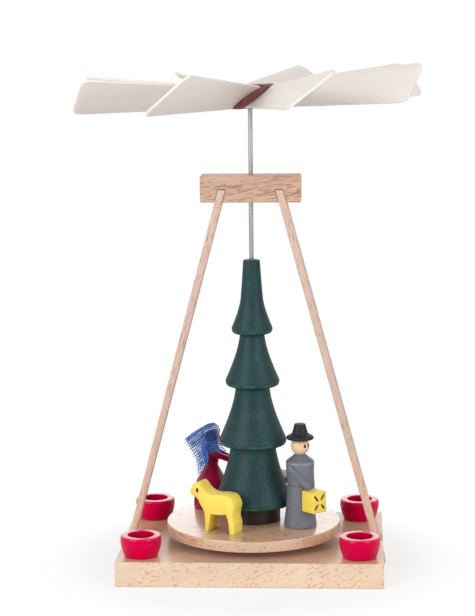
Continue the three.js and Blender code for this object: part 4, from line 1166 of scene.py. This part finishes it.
class PYRAMID_OT_veiled_figure(bpy.types.Operator):
    """Adds the veiled figure's dress, head and arms"""

    bl_idname = "pyramid.veiled_figure"
    bl_label = "Veiled figure"

    def execute(self, context):
        place = figure_place(VEILED_DISTANCE, VEILED_AZIMUTH)
        red = turned_paint(
            "dress_paint", place, "dress", 0.6, "#c8506a", (0.5, 0.12, 1.5), roughness=0.3,
            grain_mm=(0.4, 0.4, 5), specks=0.12, tint=colour("dress"),
        )
        dress = spun(dress_profile(), 80)
        add_piece("turned_dress", dress, red, "veiled_figure_dress", place, 30)
        head = ball_head(VEILED_HEAD_R, 1, VEILED_HEAD)
        maple = self.painted_maple(place @ at(*VEILED_HEAD))
        add_piece("turned_veiled_head", head, maple, "veiled_figure_head", place)
        eye_paint = mark_paint("veiled_eye_paint", place, colour("marks"))
        for name, side in (("right", -1), ("left", 1)):
            spot = on_ball(VEILED_HEAD, VEILED_HEAD_R, side * VEILED_EYE_TURN, VEILED_EYE_RISE)
            eye = dab(spot, *VEILED_EYE_SIZE)
            add_piece(f"veiled_eye_{name}", eye, eye_paint, place=place)
            shoulder = (0.8, side * DRESS_CHEST_R, DRESS_CHEST_Z + 0.2)
            arm = slat(shoulder, (9, side * 1.4, DRESS_WAIST_Z + 1.9))
            node = f"veiled_figure_{name}_arm"
            add_piece(f"sawn_veiled_{name}_arm", arm, red, node, place)
        return {"FINISHED"}

    def painted_maple(self, centre):
        """Bare maple with dark painted hair behind a brushed edge."""
        finish = Finish("maple_and_hair", centre)
        grain = finish.patches((0.4, 0.4, 6), 0.3, 0.7)
        brushed = finish.noise((0.6, 0.6, 0.6), shift=4)
        hair = finish.ramp(HAIR_LINE - finish.part("X") + 0.8 * brushed, 0.3, 0.55)
        bare = finish.toned("skin", 0.82, 0.6 * grain)
        paint = finish.toned("hair", 0.6, brushed)
        both = finish.mix(bare, paint, hair)
        bump = 0.5 * grain + 0.5 * hair
        return finish.done(both, 0.55 + 0.1 * grain, bump, 0.04, (0.1, 0.3, 1.5))


# ---- Veil


class Edge:
    """A smooth line through knots, walked by the share of its length."""

    def __init__(self, knots, over_the_head=False):
        knots = [Vector(knot) for knot in knots]
        if over_the_head:
            far_side = [Vector((knot.x, -knot.y, knot.z)) for knot in knots[1:]]
            knots = far_side[::-1] + knots
        line = smooth_line(knots, 8)
        self.line = line[len(line) // 2 :] if over_the_head else line
        self.reached = [0]
        for a, b in zip(self.line, self.line[1:]):
            self.reached.append(self.reached[-1] + (b - a).length)

    def at(self, share):
        goal = share * self.reached[-1]
        index = max(i for i, length in enumerate(self.reached[:-1]) if length <= goal)
        step = self.reached[index + 1] - self.reached[index]
        return self.line[index].lerp(self.line[index + 1], (goal - self.reached[index]) / step)


class VeilShape:
    """The draped veil, from its front edge back to the rear and from the ridge down to the hem."""

    def __init__(self):
        self.ridge = Edge(VEIL_RIDGE)
        self.bottom = Edge(VEIL_BOTTOM)
        self.front = Edge(VEIL_FRONT, True)
        self.rear = Edge(VEIL_REAR, True)
        self.dress = dress_profile()

    def point(self, back, across):
        """A point of the veil: across is 0 on the ridge, and -1 and 1 on the two hems."""
        down = abs(across)
        eased_down = down * down * (3 - 2 * down)
        point = self.ridge.at(back).lerp(self.bottom.at(back), eased_down)
        front_corners = self.front.at(0).lerp(self.front.at(1), eased_down)
        rear_corners = self.rear.at(0).lerp(self.rear.at(1), eased_down)
        point += (self.front.at(down) - front_corners) * (1 - back)
        point += (self.rear.at(down) - rear_corners) * back
        point.y += VEIL_FOLD_DEPTH * math.sin(back * VEIL_FOLDS * math.tau) * down
        point.y *= -1 if across < 0 else 1
        point += VEIL_CREASE * noise.noise_vector(0.6 * point)
        return self.kept_clear(point)

    def kept_clear(self, point):
        """Pushes a point out of the head and the dress, and moves it to the figure's frame."""
        clear = VEILED_HEAD_R + VEIL_CLEAR
        if point.length < clear:
            point = point.normalized() * clear
        point += VEILED_HEAD
        reach = math.hypot(point.x, point.y)
        needed = radius_at(self.dress, point.z) + VEIL_CLEAR
        if point.z < DRESS_NECK_Z and 0 < reach < needed:
            point.x *= needed / reach
            point.y *= needed / reach
        return point


def radius_at(profile, z):
    """The radius of a turned shape at a height."""
    for a, b in zip(profile.points, profile.points[1:]):
        if a.y <= z <= b.y and b.y > a.y:
            return a.x + (b.x - a.x) * (z - a.y) / (b.y - a.y)
    return 0


def loose_thread(net, start, end, width):
    """A frayed end of thread, thinner towards its tip."""
    along = end - start
    facing = along.to_track_quat("Z", "Y").to_matrix().to_4x4()
    place = Matrix.Translation((start + end) / 2) @ facing
    form = {"radius1": width / 2, "radius2": width / 4, "depth": along.length, "matrix": place}
    bmesh.ops.create_cone(net, cap_ends=True, segments=5, **form)


class PYRAMID_OT_veil(bpy.types.Operator):
    """Adds the net veil, woven thread by thread, with frayed ends"""

    bl_idname = "pyramid.veil"
    bl_label = "Net veil"

    def execute(self, context):
        place = figure_place(VEILED_DISTANCE, VEILED_AZIMUTH)
        group = context.scene.pyramid_sizes
        rows, columns, thread = group.net_rows, group.net_columns, sizes("net_thread")
        veil = VeilShape()
        net = bmesh.new()
        bmesh.ops.create_grid(net, x_segments=rows, y_segments=columns, size=0.5)
        step = 1 / rows
        for vert in net.verts:
            back, across = vert.co.x + 0.5, 2 * vert.co.y
            if back > step / 2:
                back = FIRST_GAP + (1 - FIRST_GAP) * (back - step) / (1 - step)
            vert.co = veil.point(min(back, 1), across)
        bmesh.ops.recalc_face_normals(net, faces=net.faces)
        form = {"use_replace": True, "use_boundary": True, "use_even_offset": True}
        bmesh.ops.wireframe(net, faces=net.faces, thickness=thread, material_offset=0, **form)
        for row in range(columns + 1):
            across = 2 * row / columns - 1
            start = veil.point(1, across)
            outward = (start - veil.point(FRINGE_ROOT, across)).normalized()
            wander = FRINGE_WANDER * noise.noise_vector(start)
            loose_thread(net, start, start + (outward + wander) * FRINGE_L, thread)
        piece = add_piece("net_veil", net, self.thread(place), "veil", place, 180)
        return {"FINISHED"}

    def thread(self, place):
        """Dyed cotton thread, with painted shade where it lies over the head."""
        finish = Finish("veil_thread", place)
        twist = finish.patches((0.25, 0.25, 0.25), 0.3, 0.7)
        clouds = finish.patches((4, 4, 4), 0.35, 0.65, shift=6)
        # Painted shade: the thread is darkened where it lies over the head
        off = finish.vector("DISTANCE", finish.where, VEILED_HEAD, "Value")
        lying = 1 - finish.ramp(off, 4.2, 5.2)
        dyed = finish.toned("veil", 0.7, 0.3 * twist + 0.3 * clouds)
        dark = finish.mix(dyed, shade("veil", 0.3), 0.7 * lying)
        return finish.done(dark, 0.75 + 0.1 * twist, twist, 0.03, Sheen_Weight=0.3)


# ---- Crib


class PYRAMID_OT_crib(bpy.types.Operator):
    """Adds the crib and the swaddled child"""

    bl_idname = "pyramid.crib"
    bl_label = "Crib and child"

    def execute(self, context):
        place = figure_place(CRIB_DISTANCE, CRIB_AZIMUTH)
        stain = sawn_wood(
            "crib_stain", place, "crib", 0.55, "#7a5244", (3, 0.3), 0.4, varnish=(0.15, 0.3, 1.5)
        )
        add_piece("sawn_crib", eased(of_node("crib"), CRIB_EDGE, 1), stain, "crib")
        self.add_child()
        return {"FINISHED"}

    def add_child(self):
        low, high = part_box("swaddled_child")
        head_at = CHILD_L - CHILD_HEAD_R
        chin = head_at - math.sqrt(CHILD_HEAD_R**2 - CHILD_NECK_R**2)
        profile = Profile(0, 0).curve((CHILD_R, 0), (CHILD_R, CHILD_R))
        profile.curve((CHILD_R, chin * 0.8), (CHILD_NECK_R, chin), 12)
        start = math.asin((chin - head_at) / CHILD_HEAD_R)
        profile.arc((0, head_at), CHILD_HEAD_R, start, math.pi / 2, 20)
        middle = Matrix.Translation((low + high) / 2)
        lying = middle @ turn("Y", 90) @ at(0, 0, -CHILD_L / 2)
        finish = Finish("linen_and_maple", lying)
        head = finish.ramp(finish.part("Z"), chin - 0.05, chin + 0.05)
        wraps = finish.patches((5, 5, 0.5), 0.35, 0.65, distortion=0.4)
        linen = finish.toned("linen", 0.75, 0.6 * wraps)
        skin = finish.toned("skin", 0.85, 0.5 * wraps)
        both = finish.done(finish.mix(linen, skin, head), 0.5 + 0.1 * wraps, wraps, 0.08)
        add_piece("turned_child", spun(profile, 48), both, "swaddled_child", lying)


# ---- Panel and running order

PIECES = (
    PYRAMID_OT_stage,
    PYRAMID_OT_board,
    PYRAMID_OT_cups,
    PYRAMID_OT_axle,
    PYRAMID_OT_plate,
    PYRAMID_OT_tree,
    PYRAMID_OT_fan,
    PYRAMID_OT_shepherd,
    PYRAMID_OT_sheep,
    PYRAMID_OT_veiled_figure,
    PYRAMID_OT_veil,
    PYRAMID_OT_crib,
)


class PYRAMID_PT_panel(bpy.types.Panel):
    """Lists the pieces, with their sizes and colours"""

    bl_idname = "PYRAMID_PT_panel"
    bl_label = "Christmas Pyramid"
    bl_space_type = "VIEW_3D"
    bl_region_type = "UI"
    bl_category = "Pyramid"

    def draw(self, context):
        for piece in PIECES:
            self.layout.operator(piece.bl_idname)
        for group in (context.scene.pyramid_sizes, context.scene.pyramid_colours):
            box = self.layout.box()
            for name in group.__annotations__:
                box.prop(group, name)


CLASSES = (PyramidSizes, PyramidColours, *PIECES, PYRAMID_PT_panel)


def register():
    for each in CLASSES:
        bpy.utils.register_class(each)
    bpy.types.Scene.pyramid_sizes = PointerProperty(type=PyramidSizes)
    bpy.types.Scene.pyramid_colours = PointerProperty(type=PyramidColours)


def unregister():
    del bpy.types.Scene.pyramid_sizes
    del bpy.types.Scene.pyramid_colours
    for each in reversed(CLASSES):
        bpy.utils.unregister_class(each)


def main():
    register()
    bpy.ops.pyramid.stage()
    bpy.ops.pyramid.board()
    bpy.ops.pyramid.cups()
    bpy.ops.pyramid.axle()
    bpy.ops.pyramid.plate()
    bpy.ops.pyramid.tree()
    bpy.ops.pyramid.fan()
    bpy.ops.pyramid.shepherd()
    bpy.ops.pyramid.sheep()
    bpy.ops.pyramid.veiled_figure()
    bpy.ops.pyramid.veil()
    bpy.ops.pyramid.crib()


if __name__ == "__main__":
    main()
